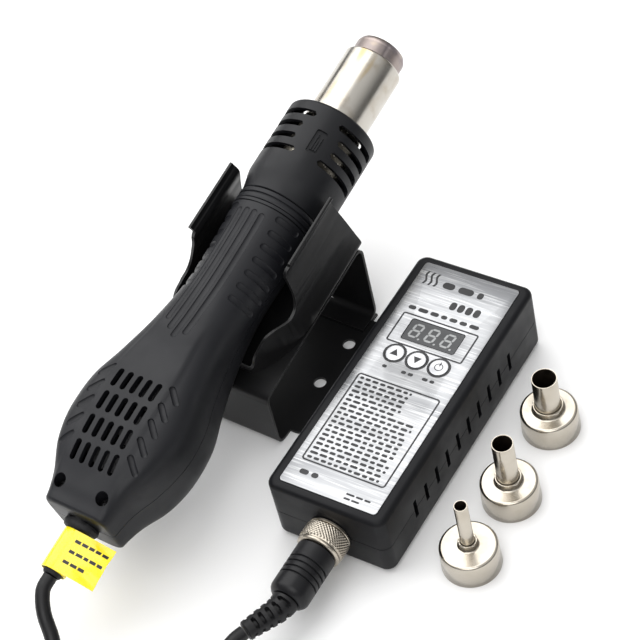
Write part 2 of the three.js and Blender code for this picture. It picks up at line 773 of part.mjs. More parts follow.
// The outline of a bent strip: a centre line with rounded corners, given a thickness.
function bentStrip(corners, radius, thickness) {
  const line = [corners[0]];
  for (let i = 1; i < corners.length - 1; i += 1) {
    const corner = corners[i];
    const inward = corners[i - 1].clone().sub(corner).normalize();
    const outwards = corners[i + 1].clone().sub(corner).normalize();
    const half = inward.angleTo(outwards) / 2;
    const setback = radius / Math.tan(half);
    const start = corner.clone().addScaledVector(inward, setback);
    const end = corner.clone().addScaledVector(outwards, setback);
    line.push(...new THREE.QuadraticBezierCurve(start, corner, end).getPoints(4));
  }
  line.push(corners[corners.length - 1]);
  const left = [];
  const right = [];
  line.forEach((point, i) => {
    const ahead = line[Math.min(i + 1, line.length - 1)];
    const behind = line[Math.max(i - 1, 0)];
    const tangent = ahead.clone().sub(behind).normalize();
    const normal = new THREE.Vector2(-tangent.y, tangent.x).multiplyScalar(thickness / 2);
    left.push(point.clone().add(normal).toArray());
    right.push(point.clone().sub(normal).toArray());
  });
  return left.concat(right.reverse());
}

function plateMiddle(y) {
  const below = CRADLE_FLOOR - CRADLE_T - GAP - STRIP_T / 2;
  return AXIS_HEIGHT + y * Math.tan(TILT) + below / Math.cos(TILT);
}

// The bracket: one strip bent into a closed, sloping-topped frame with a wide foot.
function holderBracket() {
  const half = STRIP_T / 2;
  const overlap = STRIP_T + GAP + half;
  const corners = [
    [BACK_Y - 11.7, overlap], [BACK_Y - half, overlap], [BACK_Y - half, plateMiddle(BACK_Y - half)],
    [FRONT_Y + half, plateMiddle(FRONT_Y + half)], [FRONT_Y + half, half], [BACK_Y, half],
  ].map((corner) => new THREE.Vector2(...corner));
  let bracket = prismX(bentStrip(corners, BEND_R, STRIP_T), -STRIP_HALF, STRIP_HALF);
  const foot = prism(roundedRect(2 * FOOT_HALF, 66, 5), 0, STRIP_T).translate([0, 5, 0]);
  bracket = bracket.add(foot);
  bracket = bracket.subtract(block([-7.3, BACK_Y - 2, -1], [7.3, BACK_Y + 1, 4]));
  for (const x of [-26.5, 26.5]) {
    for (const y of [22.3, -1.1]) {
      bracket = bracket.subtract(rodZ(2.75, -1, 1.4, 12).translate([x, y, 0]));
    }
  }
  const tilt = THREE.MathUtils.radToDeg(TILT);
  for (const along of CRADLE_SCREWS) {
    const y = (along + RING_ALONG) * Math.cos(TILT);
    const z = AXIS_HEIGHT + (along + RING_ALONG) * Math.sin(TILT);
    const hole = rodZ(1.8, -30, -18, 10).rotate([tilt, 0, 0]).translate([0, y, z]);
    bracket = bracket.subtract(hole);
  }
  return bracket;
}

// A prism that runs along the handle axis, from one half of a section mirrored in X.
function mirroredPrism(half, from, to) {
  const mirrored = half.map(([x, z]) => [-x, z]).reverse();
  const shape = new THREE.Shape(half.concat(mirrored).map(([x, z]) => new THREE.Vector2(x, -z)));
  const geometry = new THREE.ExtrudeGeometry(shape, { depth: to - from, bevelEnabled: false });
  return toSolid(geometry.rotateX(-Math.PI / 2).translate(0, from, 0));
}

// The plan of the trough: straight sides and a rounded scoop at its front.
function cradlePlan(inset) {
  const wide = CRADLE_HALF - inset;
  const front = CRADLE_FRONT + inset;
  const shape = new THREE.Shape();
  shape.moveTo(-wide, CRADLE_BACK);
  shape.lineTo(-wide, -26);
  shape.quadraticCurveTo(-26.2 + inset, -54.5, -16, front);
  shape.lineTo(16, front);
  shape.quadraticCurveTo(26.2 - inset, -54.5, wide, -26);
  shape.lineTo(wide, CRADLE_BACK);
  shape.closePath();
  return prism(shape, -60, 40, 0, 10);
}

// The cradle: a trough with inward-leaning arms, rolled-out lips and low front cheeks.
function cradle() {
  const low = CRADLE_FLOOR - CRADLE_T;
  const wide = CRADLE_HALF;
  const outer = mirroredPrism([
    [wide - 5, low], [wide - 1.5, low + 1.5], [wide, low + 5], [23.9, 7.4], [24.2, 10.4],
    [25.7, LIP_HEIGHT - 0.3], [24.7, LIP_HEIGHT + 0.4],
  ], CRADLE_FRONT, CRADLE_BACK);
  const inner = mirroredPrism([
    [wide - 5.3, CRADLE_FLOOR], [wide - 2.5, CRADLE_FLOOR + 1.2], [wide - 1.3, low + 5],
    [22.65, 7.4], [23, 10.9], [24.7, LIP_HEIGHT + 0.4], [24.7, LIP_HEIGHT + 9],
  ], CRADLE_FRONT - 1, CRADLE_BACK + 1);
  const edge = new THREE.SplineCurve([
    [CRADLE_FRONT - 2, low + 1.2], [CRADLE_FRONT + 1.2, low + 3.4], [-57.2, -11.2], [-52, -4.8],
    [-47, -4], [-40, -6.2], [-34.5, -5.6], [-31, -2], [-29, 4], [-27.4, 9.4], [-24.6, 11],
  ].map((point) => new THREE.Vector2(...point))).getPoints(30);
  const above = edge.map((point) => point.toArray());
  above.push([-24.6, BIG], [CRADLE_FRONT - 2, BIG]);
  let trough = outer.intersect(cradlePlan(0)).subtract(inner.intersect(cradlePlan(CRADLE_T)));
  trough = trough.subtract(prismX(above, -BIG, BIG));
  for (const along of CRADLE_SCREWS) {
    trough = trough.subtract(rodZ(1.8, low - 1, CRADLE_FLOOR + 1, 10).translate([0, along, 0]));
  }
  return trough;
}

function cradleScrew() {
  const seat = CRADLE_FLOOR + GAP;
  return upright([
    [0, seat - 9], [1.5, seat - 9], [1.5, seat], [2.8, seat], [2.8, seat + 0.8], [0, seat + 1.4],
  ], 12);
}

function cradleNut() {
  const top = CRADLE_FLOOR - CRADLE_T - STRIP_T - 2 * GAP;
  return upright([[2.1, top - 2.4], [3.3, top - 2.4], [3.3, top], [2.1, top]], 6);
}

function holderMagnet() {
  return rodZ(5, CRADLE_FLOOR + GAP, CRADLE_FLOOR + 1.6, 20);
}

// ---------------------------------------------------------------- nozzles

// A nozzle cup: flared mouth down, rounded shoulder, and a short collar on its roof.
function nozzleCup(tubeR) {
  const roof = CUP_H - 0.6;
  return upright([
    [CUP_BORE_R, 0], [CUP_MOUTH_R, 0], [CUP_TOP_R, CUP_H - 1.4], [CUP_TOP_R - 1.4, CUP_H],
    [tubeR + 1.1, CUP_H], [tubeR + 1.1, CUP_H + 3.2], [tubeR + 0.3, CUP_H + 3.2],
    [tubeR + 0.3, roof], [CUP_BORE_R, roof],
  ], 20);
}

function nozzleTube(tubeR, height) {
  const low = CUP_H - 2.6;
  return upright([
    [tubeR - 0.5, low], [tubeR + 1.4, low], [tubeR + 1.4, low + 1.6], [tubeR, low + 1.6],
    [tubeR, CUP_H + height], [tubeR - 0.5, CUP_H + height],
  ], 14);
}

// ---------------------------------------------------------------- assembly

place(unit, 'upper_case', upperCase(), 'black');
place(unit, 'lower_case', lowerCase(), 'black');
place(unit, 'front_label', frontLabel(), 'brushed');
place(unit, 'display_window', displayWindow(), 'smoke');
place(unit, 'led_display', ledDisplay(), 'soft');
buttonX.forEach((x, i) => {
  place(unit, buttonNames[i], buttonCap(), 'brushed', [x, BUTTON_Y, 0]);
});
place(unit, 'control_board', controlBoard(), 'board');
place(unit, 'power_board', powerBoard(), 'board');
place(unit, 'heatsink', heatsink(), 'aluminium');
place(unit, 'filter_capacitor', rodZ(6, 8, 22), 'soft', [-12, -14, 0]);
screwSpots.forEach(([x, y], i) => {
  place(unit, `rubber_foot_${i + 1}`, rubberFoot(), 'soft', [x, y, 0]);
  place(unit, `case_screw_${i + 1}`, caseScrew(), 'steel', [x, y, 0]);
});
place(unit, 'panel_socket', panelSocket(), 'nickel', [PLUG_X, 0, PLUG_Z]);
place(unit, 'socket_nut', socketNut(), 'nickel', [PLUG_X, 0, PLUG_Z]);
place(unit, 'mains_gland', mainsGland(), 'soft', [0, 0, CASE_SPLIT]);
place(unit, 'coupling_nut', couplingNut(), 'nickel', [PLUG_X, 0, PLUG_Z]);
place(unit, 'plug_body', plugBody(), 'soft', [PLUG_X, 0, PLUG_Z]);
place(unit, 'plug_strain_relief', plugRelief(), 'soft', [PLUG_X, 0, PLUG_Z]);

place(handle, 'grip_upper_shell', gripUpper(), 'black');
place(handle, 'grip_lower_shell', gripLower(), 'black');
GRIP_SCREW_X.forEach((x, i) => {
  place(handle, `grip_screw_${i + 1}`, gripScrew(), 'steel', [x, GRIP_SCREW_ALONG, 0]);
});
place(handle, 'neck_ring', neckRing(), 'black');
place(handle, 'heater_guard', heaterGuard(), 'black');
place(handle, 'heater_tube', heaterTube(), 'nickel');
place(handle, 'nozzle_spigot', nozzleSpigot(), 'nickel');
place(handle, 'mica_sleeve', micaSleeve(), 'ceramic');
place(handle, 'heater_core', heaterCore(), 'ceramic');
place(handle, 'heating_coil', heatingCoil(), 'steel');
place(handle, 'blower_housing', blowerHousing(), 'soft', [0, BLOWER_ALONG, 0]);
place(handle, 'blower_motor', blowerMotor(), 'steel', [0, BLOWER_ALONG, 0]);
place(handle, 'blower_impeller', impeller(), 'soft', [0, BLOWER_ALONG, 0]);
place(handle, 'handle_board', gripBoard(), 'board');
place(handle, 'cable_bush', cableBush(), 'soft');
place(handle, 'caution_tag', cautionTag(), 'yellow');

place(holder, 'holder_bracket', holderBracket(), 'satin');
place(handle, 'holder_cradle', cradle(), 'satin');
CRADLE_SCREWS.forEach((along, i) => {
  place(handle, `cradle_screw_${i + 1}`, cradleScrew(), 'steel', [0, along, 0]);
  place(handle, `cradle_nut_${i + 1}`, cradleNut(), 'steel', [0, along, 0]);
});
place(handle, 'holder_magnet', holderMagnet(), 'nickel', [0, MAGNET_ALONG, 0]);

NOZZLES.forEach(({ name, x, y, tubeR, height }) => {
  place(unit, `${name}_cup`, nozzleCup(tubeR), 'nickel', [x, y, 0]);
  place(unit, `${name}_tube`, nozzleTube(tubeR, height), 'nickel', [x, y, 0]);
});

station.updateMatrixWorld(true);
const bushExit = handle.localToWorld(new THREE.Vector3(0, BUSH_END - 3 * GAP, 0)).toArray();
place(station, 'cable_handle_side', cableRun([bushExit, ...CABLE_FROM_HANDLE]), 'soft');
place(station, 'cable_coil', cableCoil(), 'soft', [COIL_X, COIL_Y, 0]);
place(station, 'cable_plug_side', cableRun(CABLE_TO_PLUG), 'soft');

export default station;
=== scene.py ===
"""The looks of the bench hot air station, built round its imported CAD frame."""

import json
from math import cos, exp, floor, hypot, pi, radians, remainder, sin, sqrt, tan

import bmesh
import bpy
from mathutils import Matrix, Vector, noise


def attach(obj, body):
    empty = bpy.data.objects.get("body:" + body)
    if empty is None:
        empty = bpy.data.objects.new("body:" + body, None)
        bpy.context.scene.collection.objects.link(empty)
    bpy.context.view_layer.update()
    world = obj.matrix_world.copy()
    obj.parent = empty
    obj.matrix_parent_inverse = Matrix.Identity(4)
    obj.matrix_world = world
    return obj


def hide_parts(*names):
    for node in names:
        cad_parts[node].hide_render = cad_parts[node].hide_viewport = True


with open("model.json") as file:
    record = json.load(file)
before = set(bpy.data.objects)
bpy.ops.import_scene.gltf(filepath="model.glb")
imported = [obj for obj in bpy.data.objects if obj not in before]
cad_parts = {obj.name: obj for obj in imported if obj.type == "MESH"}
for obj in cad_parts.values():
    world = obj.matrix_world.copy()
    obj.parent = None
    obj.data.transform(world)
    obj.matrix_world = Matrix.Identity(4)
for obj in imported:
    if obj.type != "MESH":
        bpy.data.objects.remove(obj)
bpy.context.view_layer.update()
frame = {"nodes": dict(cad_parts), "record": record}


def at(x, y, z):
    """The place of a part's own frame, moved without a turn."""
    return Matrix.Translation((x, y, z))



# Sizes and places are in millimetres, in each group's own frame, as in the CAD.
MM = 0.001
GAP = 0.3
UNIT_X, UNIT_Y = 24.2, 5.0
HOLDER_X, HOLDER_Y = -52.3, 15.0
HOLDER_TURN = radians(-2.5)
TILT = radians(11)
AXIS_HEIGHT = 60.6
RING_ALONG = 28.0

CASE_W, CASE_L = 54.0, 131.6
CASE_BOTTOM, CASE_SPLIT, CASE_TOP = 1.2, 16.2, 33.6
CASE_WALL, CASE_CORNER, CASE_EDGE = 2.0, 4.5, 2.4
VENT_COUNT, VENT_PITCH, VENT_W, VENT_H = 10, 9.0, 2.2, 10.0
LABEL_W, LABEL_L, LABEL_TOP = 44.4, 123.6, 33.85
PRINT_LOW, PRINT_HIGH = LABEL_TOP - 0.02, LABEL_TOP + 0.03
DISPLAY_W, DISPLAY_L, DISPLAY_Y = 24.8, 11.2, 26.4
BUTTON_R, BUTTON_Y = 4.1, 12.6
BUTTON_X = {"up": -10.4, "down": -0.1, "setup": 10.2}
SCREW_SPOTS = [(-20, -57), (20, -57), (-20, 57), (20, 57)]

PLUG_X, PLUG_Z = 1.0, 16.0
NUT_R, NUT_L, NUT_START = 9.8, 9.0, -67.7
PLUG_R, PLUG_L, PLUG_START = 8.4, 24.0, -77.0
KNURLS, KNURL_STEP, KNURL_DEPTH = 42, 0.75, 0.1
SOCKET_BORE_R, GLAND_BORE_R = 8.3, 5.5
RELIEF_START, RELIEF_L = -101.3, 20.0
SLOT_ROWS, SLOT_DEPTH, SLOT_HALF_TURN = 5, 1.9, 0.62
RELIEF_BEND_L, RELIEF_BEND_R = 6.4, 14.5

GRIP_END = -154.0
GRIP_WALL = 2.0
RING_R = 18.7
GUARD_R, GUARD_END, GUARD_WALL = 20.5, 47.0, 1.8
GUARD_SPINE = radians(69)
TUBE_R, TUBE_END = 13.3, 82.0
SPIGOT_R, SPIGOT_END = 11.3, 90.4
SHEET = 0.7
VENT_MIDDLE, VENT_ROW = -116.0, 11.0
INTAKE_W, INTAKE_L, INTAKE_STEP = 2.6, 8.6, 4.7
CHANNELS = ((-7.2, -10.5, -66), (-3.4, -10, -70), (0.4, -10, -73), (4.2, -10.5, -70))
DIMPLES = (-97.3, -105.5, -113.2, -121.5, -129.5)
GUARD_SLOT_W, GUARD_SLOT_STEP, GUARD_SLOT_TOP = 2.8, 6.15, 38.8
GUARD_MARK = radians(66)
GRIP_SCREW_X, GRIP_SCREW_ALONG = 10.5, -145.5
BUSH_END = -178.0
TAG_W, TAG_WRAP_R, TAG_REACH = 18.0, 5.5, 19.0
TAG_DROOP = radians(15)

STRIP_T, STRIP_HALF = 1.2, 28.8
FRONT_Y, BACK_Y, BEND_R = -36.5, 42.2, 4.5
CRADLE_FRONT, CRADLE_BACK, CRADLE_FLOOR = -61.0, 9.6, -20.9
CRADLE_HALF, CRADLE_T = 30.8, 1.2
CRADLE_SCREWS = (-46, -20)
LIP_HEIGHT = 13.4

CUP_BORE_R, CUP_MOUTH_R, CUP_TOP_R, CUP_H = 11.55, 12.25, 11.95, 12.2
NOZZLES = {
    "nozzle_large": (51.2, 25.5, 5.3, 19.5),
    "nozzle_medium": (52.8, -13.2, 4.45, 24.3),
    "nozzle_small": (52.4, -47.1, 2.8, 25.9),
}

COIL_X, COIL_Y = -12.3, -200.1
CABLE_R = 3.0

STATION = Matrix.Scale(MM, 4)
UNIT = STATION @ at(UNIT_X, UNIT_Y, 0)
CONNECTOR = UNIT @ at(PLUG_X, 0, PLUG_Z)
HOLDER = STATION @ at(HOLDER_X, HOLDER_Y, 0) @ Matrix.Rotation(HOLDER_TURN, 4, "Z")
HANDLE = HOLDER @ at(0, RING_ALONG * cos(TILT), AXIS_HEIGHT + RING_ALONG * sin(TILT))
HANDLE = HANDLE @ Matrix.Rotation(TILT, 4, "X")


# ---- camera

def add_camera():
    """A long lens well above the bench, turned to the near right corner and rolled."""
    azimuth, elevation, roll = radians(41.343), radians(48.193), radians(-14.602)
    data = bpy.data.cameras.new("camera")
    data.sensor_width, data.lens = 36, 126.2
    camera = bpy.data.objects.new("camera", data)
    bpy.context.collection.objects.link(camera)
    place = at(0.388515, -0.448067, 0.732789)
    turn = Matrix.Rotation(azimuth, 4, "Z") @ Matrix.Rotation(pi / 2 - elevation, 4, "X")
    camera.matrix_world = place @ turn @ Matrix.Rotation(roll, 4, "Z")
    bpy.context.scene.camera = camera


# ---- materials

class NodeMaker:
    """Adds nodes to a node tree."""

    def __init__(self, tree):
        self.nodes, self.links = tree.nodes, tree.links

    def node(self, kind, values, **settings):
        """A new node: its inputs take the values, or are joined to the sockets given."""
        node = self.nodes.new(f"ShaderNode{kind}")
        for setting, value in settings.items():
            setattr(node, setting, value)
        for socket, value in values.items():
            self.feed(node.inputs[socket], value)
        return node

    def feed(self, socket, value):
        if isinstance(value, bpy.types.NodeSocket):
            self.links.new(value, socket)
        else:
            socket.default_value = value

    def ranged(self, fac, low, high, start=0.3, end=0.7):
        """Runs from low to high while the pattern runs from start to end."""
        values = {"Value": fac, "From Min": start, "From Max": end, "To Min": low, "To Max": high}
        return self.node("MapRange", values, interpolation_type="SMOOTHSTEP").outputs["Result"]


class Finish(NodeMaker):
    """A procedural material: base values on the shader, with texture nodes joined to it."""

    def __init__(self, name, colour, roughness, metallic=0, **sockets):
        self.material = bpy.data.materials.new(name)
        self.material.use_nodes = True
        self.material.diffuse_color = (*colour, 1)
        super().__init__(self.material.node_tree)
        self.inputs = self.nodes["Principled BSDF"].inputs
        self.name, self.colour, self.roughness = name, colour, roughness
        self.base, self.normal = (*colour, 1), None
        self.feed(self.inputs["Base Color"], self.base)
        self.feed(self.inputs["Roughness"], roughness)
        self.feed(self.inputs["Metallic"], metallic)
        for socket, value in sockets.items():
            self.feed(self.inputs[socket.replace("_", " ")], value)

    def noise(self, size, stretch=(1, 1, 1), detail=3):
        """A cloud pattern whose features are about `size` millimetres across."""
        where = self.node("TexCoord", {}).outputs["Object"]
        mapping = self.node("Mapping", {"Vector": where, "Scale": stretch})
        values = {"Vector": mapping.outputs["Vector"], "Scale": 1 / (size * MM), "Detail": detail}
        return self.node("TexNoise", values).outputs["Fac"]

    def cells(self, size, feature="F1"):
        """A pattern of cells about `size` millimetres across."""
        where = self.node("TexCoord", {}).outputs["Object"]
        values = {"Vector": where, "Scale": 1 / (size * MM)}
        return self.node("TexVoronoi", values, feature=feature).outputs["Distance"]

    def tint(self, fac, other, start=0.35, end=0.65):
        """Fades the base colour to another one where the pattern is high."""
        values = {"A": self.base, "B": (*other, 1), "Factor": self.ranged(fac, 0, 1, start, end)}
        self.base = self.node("Mix", values, data_type="RGBA").outputs["Result"]
        self.feed(self.inputs["Base Color"], self.base)

    def shaded(self, fac, share):
        """The same colour, a little darker where the pattern is high."""
        self.tint(fac, tuple(channel * share for channel in self.colour), 0.3, 0.7)

    def polish(self, fac, low, high, start=0.3, end=0.7):
        """Roughness that runs from low to high with the pattern."""
        self.feed(self.inputs["Roughness"], self.ranged(fac, low, high, start, end))

    def bump(self, fac, height):
        """Relief of `height` millimetres."""
        bump = self.node("Bump", {"Distance": height * MM, "Height": fac})
        if self.normal:
            self.feed(bump.inputs["Normal"], self.normal)
        self.normal = bump.outputs["Normal"]
        self.feed(self.inputs["Normal"], self.normal)

    def worn_edges(self, radius, colour, roughness):
        """Another colour where the paint is rubbed on sharp edges."""
        rounded = self.node("Bevel", {"Radius": radius * MM}, samples=6)
        flat = self.node("NewGeometry", {})
        facing = self.node("VectorMath", {}, operation="DOT_PRODUCT")
        self.feed(facing.inputs[0], rounded.outputs["Normal"])
        self.feed(facing.inputs[1], flat.outputs["Normal"])
        edge = self.node("Math", {}, operation="SUBTRACT")
        self.feed(edge.inputs[0], self.ranged(facing.outputs["Value"], 1, 0, 0.8, 0.985))
        self.feed(edge.inputs[1], self.ranged(self.noise(2.5), 0.004, 0.05))
        self.tint(edge.outputs["Value"], colour, 0.35, 0.9)
        self.polish(edge.outputs["Value"], self.roughness, roughness, 0.3, 0.9)


def moulded(name, colour, roughness, grain=0.5, height=0.012, **sockets):
    """Moulded plastic: spark-eroded grain, faint flow marks and handling sheen."""
    finish = Finish(name, colour, roughness, **sockets)
    finish.shaded(finish.noise(35, detail=2), 0.82)
    finish.polish(finish.noise(14), roughness - 0.06, roughness + 0.08)
    finish.bump(finish.noise(grain, detail=2), height)
    return finish


def rubber(name, colour, roughness=0.6):
    finish = Finish(name, colour, roughness, Specular_IOR_Level=0.3)
    finish.shaded(finish.noise(20), 0.75)
    finish.tint(finish.noise(5, detail=5), tuple(c * 1.6 + 0.004 for c in colour), 0.58, 0.8)
    finish.polish(finish.noise(6), roughness - 0.08, roughness + 0.1)
    finish.bump(finish.noise(0.8), 0.02)
    return finish


def bare_metal(name, colour, roughness, stain, lay=(1, 1, 1), height=0.006):
    """Metal with faint stains, and fine marks drawn out along its lay."""
    finish = Finish(name, colour, roughness, 1)
    finish.tint(finish.noise(9, detail=4), stain, 0.42, 0.75)
    finish.polish(finish.noise(3, lay, 4), roughness * 0.85, roughness * 1.2)
    finish.bump(finish.noise(0.5, lay, 4), height)
    return finish


def label_metal():
    """Anodised label metal, brushed along X, with broad streaks."""
    finish = Finish("label_metal", (0.40, 0.405, 0.415), 0.32, 0.9, Anisotropic=0.4)
    finish.tint(finish.noise(14, (0.12, 1, 1), 4), (0.27, 0.275, 0.285), 0.4, 0.68)
    finish.tint(finish.noise(0.6, (0.03, 1, 1), 4), (0.56, 0.565, 0.57), 0.48, 0.72)
    finish.polish(finish.noise(0.5, (0.03, 1, 1), 4), 0.27, 0.46)
    finish.bump(finish.noise(0.3, (0.03, 1, 1), 4), 0.006)
    return finish


def circuit_board():
    finish = Finish("circuit_board", (0.012, 0.09, 0.035), 0.35, Coat_Weight=0.4)
    finish.tint(finish.cells(3.2, "DISTANCE_TO_EDGE"), (0.02, 0.16, 0.06), 0.02, 0.06)
    finish.tint(finish.cells(2.4), (0.55, 0.53, 0.5), 0.13, 0.08)
    finish.polish(finish.noise(4), 0.28, 0.5)
    finish.bump(finish.cells(3.2, "DISTANCE_TO_EDGE"), 0.05)
    return finish


def spigot_steel():
    """Heat-tinted sheet: rosy grey, bluer in patches."""
    rosy, bluish = (0.36, 0.305, 0.285), (0.26, 0.23, 0.245)
    finish = bare_metal("spigot_steel", rosy, 0.4, bluish, (1, 0.2, 1))
    finish.tint(finish.noise(6), (0.45, 0.38, 0.31), 0.5, 0.75)
    return finish


def heater_steel():
    """Bright rolled tube with straw heat tint in streaks along it."""
    bright, stain = (0.52, 0.495, 0.45), (0.42, 0.375, 0.31)
    finish = bare_metal("heater_steel", bright, 0.22, stain, (1, 0.1, 1))
    finish.tint(finish.noise(9, (1, 0.08, 1), 2), (0.44, 0.345, 0.20), 0.55, 0.72)
    return finish


def inner_tube_painted_shade():
    """Painted shade on the part of the heater tube inside the guard: dark, with bright spots in a
    cell pattern.
    """
    finish = Finish("inner_tube_painted_shade", (0.13, 0.12, 0.10), 0.3, 1)
    finish.tint(finish.cells(1.7), (0.62, 0.58, 0.50), 0.26, 0.2)
    finish.polish(finish.noise(2), 0.25, 0.5)
    finish.bump(finish.cells(1.7), 0.1)
    return finish


def holder_paint():
    """Satin black powder paint, a little greyer where its sharp edges are rubbed."""
    finish = Finish("holder_paint", (0.0078, 0.0078, 0.0084), 0.36, Specular_IOR_Level=0.32)
    finish.shaded(finish.noise(12), 0.7)
    finish.bump(finish.noise(0.9, detail=2), 0.018)
    finish.worn_edges(0.35, (0.05, 0.05, 0.05), 0.3)
    return finish


def tag_film():
    finish = Finish("tag_film", (0.93, 0.72, 0.0), 0.22, Coat_Weight=0.5, Coat_Roughness=0.1)
    finish.tint(finish.noise(7), (0.99, 0.84, 0.01), 0.4, 0.65)
    finish.polish(finish.noise(3), 0.16, 0.34)
    finish.bump(finish.noise(6, (1, 0.5, 1), 3), 0.25)
    return finish


def ceramic(name, colour, speck):
    finish = Finish(name, colour, 0.8)
    finish.tint(finish.noise(1.6, detail=4), speck, 0.5, 0.7)
    finish.polish(finish.noise(3), 0.7, 0.92)
    finish.bump(finish.noise(0.7), 0.05)
    return finish


CASE_BLACK = (0.0062, 0.0064, 0.0078)
GRIP_BLACK = (0.0098, 0.0102, 0.0126)
GUARD_BLACK = (0.0082, 0.0086, 0.0104)
NICKEL = (0.51, 0.47, 0.405)
NICKEL_STAIN = (0.46, 0.415, 0.345)
STEEL = (0.50, 0.50, 0.51)
STEEL_STAIN = (0.38, 0.37, 0.36)

# The material of each slot.
FINISHES = {finish.name: finish.material for finish in (
    moulded("case_plastic", CASE_BLACK, 0.4, Specular_IOR_Level=0.16),
    label_metal(),
    moulded("display_lens", (0.028, 0.030, 0.033), 0.3, 2.5, 0.004),
    moulded("display_body", (0.02, 0.02, 0.022), 0.5),
    bare_metal("button_cap", (0.50, 0.505, 0.515), 0.32, (0.38, 0.385, 0.40), (0.05, 1, 1)),
    circuit_board(),
    bare_metal("bare_aluminium", (0.6, 0.61, 0.62), 0.4, (0.5, 0.5, 0.51)),
    moulded("capacitor_sleeve", (0.012, 0.014, 0.03), 0.3),
    rubber("foot_rubber", (0.018, 0.018, 0.018), 0.75),
    bare_metal("screw_steel", STEEL, 0.32, STEEL_STAIN),
    bare_metal("connector_metal", (0.50, 0.455, 0.385), 0.3, (0.40, 0.355, 0.29)),
    rubber("gland_rubber", (0.010, 0.010, 0.011)),
    moulded("plug_plastic", (0.0075, 0.0075, 0.009), 0.4, Specular_IOR_Level=0.28),
    rubber("relief_rubber", (0.0075, 0.0075, 0.0085), 0.5),
    moulded("grip_plastic", GRIP_BLACK, 0.44, Specular_IOR_Level=0.28),
    moulded("guard_plastic", GUARD_BLACK, 0.42, Specular_IOR_Level=0.26),
    heater_steel(),
    spigot_steel(),
    ceramic("mica", (0.45, 0.38, 0.28), (0.33, 0.27, 0.19)),
    ceramic("heater_ceramic", (0.55, 0.50, 0.44), (0.40, 0.34, 0.29)),
    bare_metal("heater_wire", (0.34, 0.30, 0.28), 0.5, (0.22, 0.19, 0.18)),
    moulded("blower_plastic", (0.015, 0.015, 0.016), 0.5),
    bare_metal("motor_steel", (0.55, 0.55, 0.54), 0.35, (0.42, 0.41, 0.4)),
    rubber("cable_jacket", (0.0075, 0.0075, 0.0085), 0.4),
    tag_film(),
    holder_paint(),
    bare_metal("magnet", (0.6, 0.6, 0.6), 0.25, (0.5, 0.5, 0.5)),
    bare_metal("nozzle_steel", NICKEL, 0.22, NICKEL_STAIN, height=0.003),
)}
PRINT_INK = moulded("print_ink", (0.012, 0.012, 0.014), 0.45, 0.3, 0.004).material
DIGIT_GREY = moulded("digit_grey", (0.36, 0.37, 0.37), 0.4, 1.5, 0.004).material
# Painted shade for the heater tube's faces inside the guard.
INNER_TUBE_PAINTED_SHADE = inner_tube_painted_shade().material
BLACK_OXIDE = bare_metal("black_oxide", (0.06, 0.06, 0.062), 0.4, (0.03, 0.03, 0.03)).material
# Painted shade: the nozzle outlets' bores are coloured near black.
BORE_PAINTED_SHADE = bare_metal("bore_painted_shade", (0.05, 0.038, 0.03), 0.5, (0.02, 0.016, 0.014)).material


def dress_nodes():
    """Every CAD node that stays gets the finish of its slot."""
    for row in frame["record"]["subparts"]:
        mesh = frame["nodes"][row["node"]].data
        mesh.materials.clear()
        mesh.materials.append(FINISHES[row["material_slot"]])


# ---- shapes

def bridged(shape, first, second):
    """Faces between two rings of corners; a ring may repeat one corner."""
    for i in range(len(first)):
        j = (i + 1) % len(first)
        corners = list(dict.fromkeys((first[i], first[j], second[j], second[i])))
        if len(corners) > 2:
            shape.faces.new(corners)


def loft(rings, ends="caps"):
    """A shape through rings of points; its ends get caps, or join each other in a loop."""
    shape = bmesh.new()
    corners = [[shape.verts.new(point) for point in ring] for ring in rings]
    for first, second in zip(corners, corners[1:]):
        bridged(shape, first, second)
    if ends == "loop":
        bridged(shape, corners[-1], corners[0])
    else:
        shape.faces.new(corners[0][::-1])
        shape.faces.new(corners[-1])
    return shape


def turned(profile, segments=72, upright=False, ripple=None):
    """A solid of (radius, along) points turned about local Y, or about Z when upright."""
    shape = bmesh.new()
    rings = []
    for radius, along in profile:
        ring = []
        for step in range(segments if radius else 1):
            angle = 2 * pi * step / segments
            reach = radius + (ripple(radius, along, angle) if ripple and radius else 0)
            x, side = reach * cos(angle), reach * sin(angle)
            ring.append(shape.verts.new((x, side, along) if upright else (x, along, side)))
        rings.append(ring if radius else ring * segments)
    for first, second in zip(rings, rings[1:]):
        bridged(shape, first, second)
    if profile[0][0] and profile[-1][0]:
        bridged(shape, rings[-1], rings[0])
    return shape


def arc(centre, radius, start, end, steps=5):
    """Points on part of a circle, with its angles in degrees."""
    for step in range(steps + 1):
        angle = radians(start + (end - start) * step / steps)
        yield (centre[0] + radius * cos(angle), centre[1] + radius * sin(angle))


def rounded_rect(width, length, radius, steps=6):
    """The outline of a rectangle with rounded corners, about the origin."""
    x, y = width / 2 - radius, length / 2 - radius
    spots = [(x, y), (-x, y), (-x, -y), (x, -y)]
    return [point for quarter, spot in enumerate(spots)
            for point in arc(spot, radius, 90 * quarter, 90 * quarter + 90, steps)]


def moved(outline, x=0.0, y=0.0):
    return [(px + x, py + y) for px, py in outline]


def prism(outline, low, high):
    return loft([[(x, y, low) for x, y in outline], [(x, y, high) for x, y in outline]])


def prism_x(outline, start, end):
    """A prism along X, from (y, z) points."""
    return loft([[(start, y, z) for y, z in outline], [(end, y, z) for y, z in outline]])


def prism_y(outline, start, end):
    """A prism along Y, from (x, z) points."""
    return loft([[(x, start, z) for x, z in outline], [(x, end, z) for x, z in outline]])


def block(low, high):
    outline = [(low[0], low[1]), (high[0], low[1]), (high[0], high[1]), (low[0], high[1])]
    return prism(outline, low[2], high[2])


def rod(radius, low, high, x=0.0, y=0.0, segments=40):
    return prism(moved(list(arc((0, 0), radius, 0, 360 - 360 / segments, segments - 1)), x, y),
                 low, high)


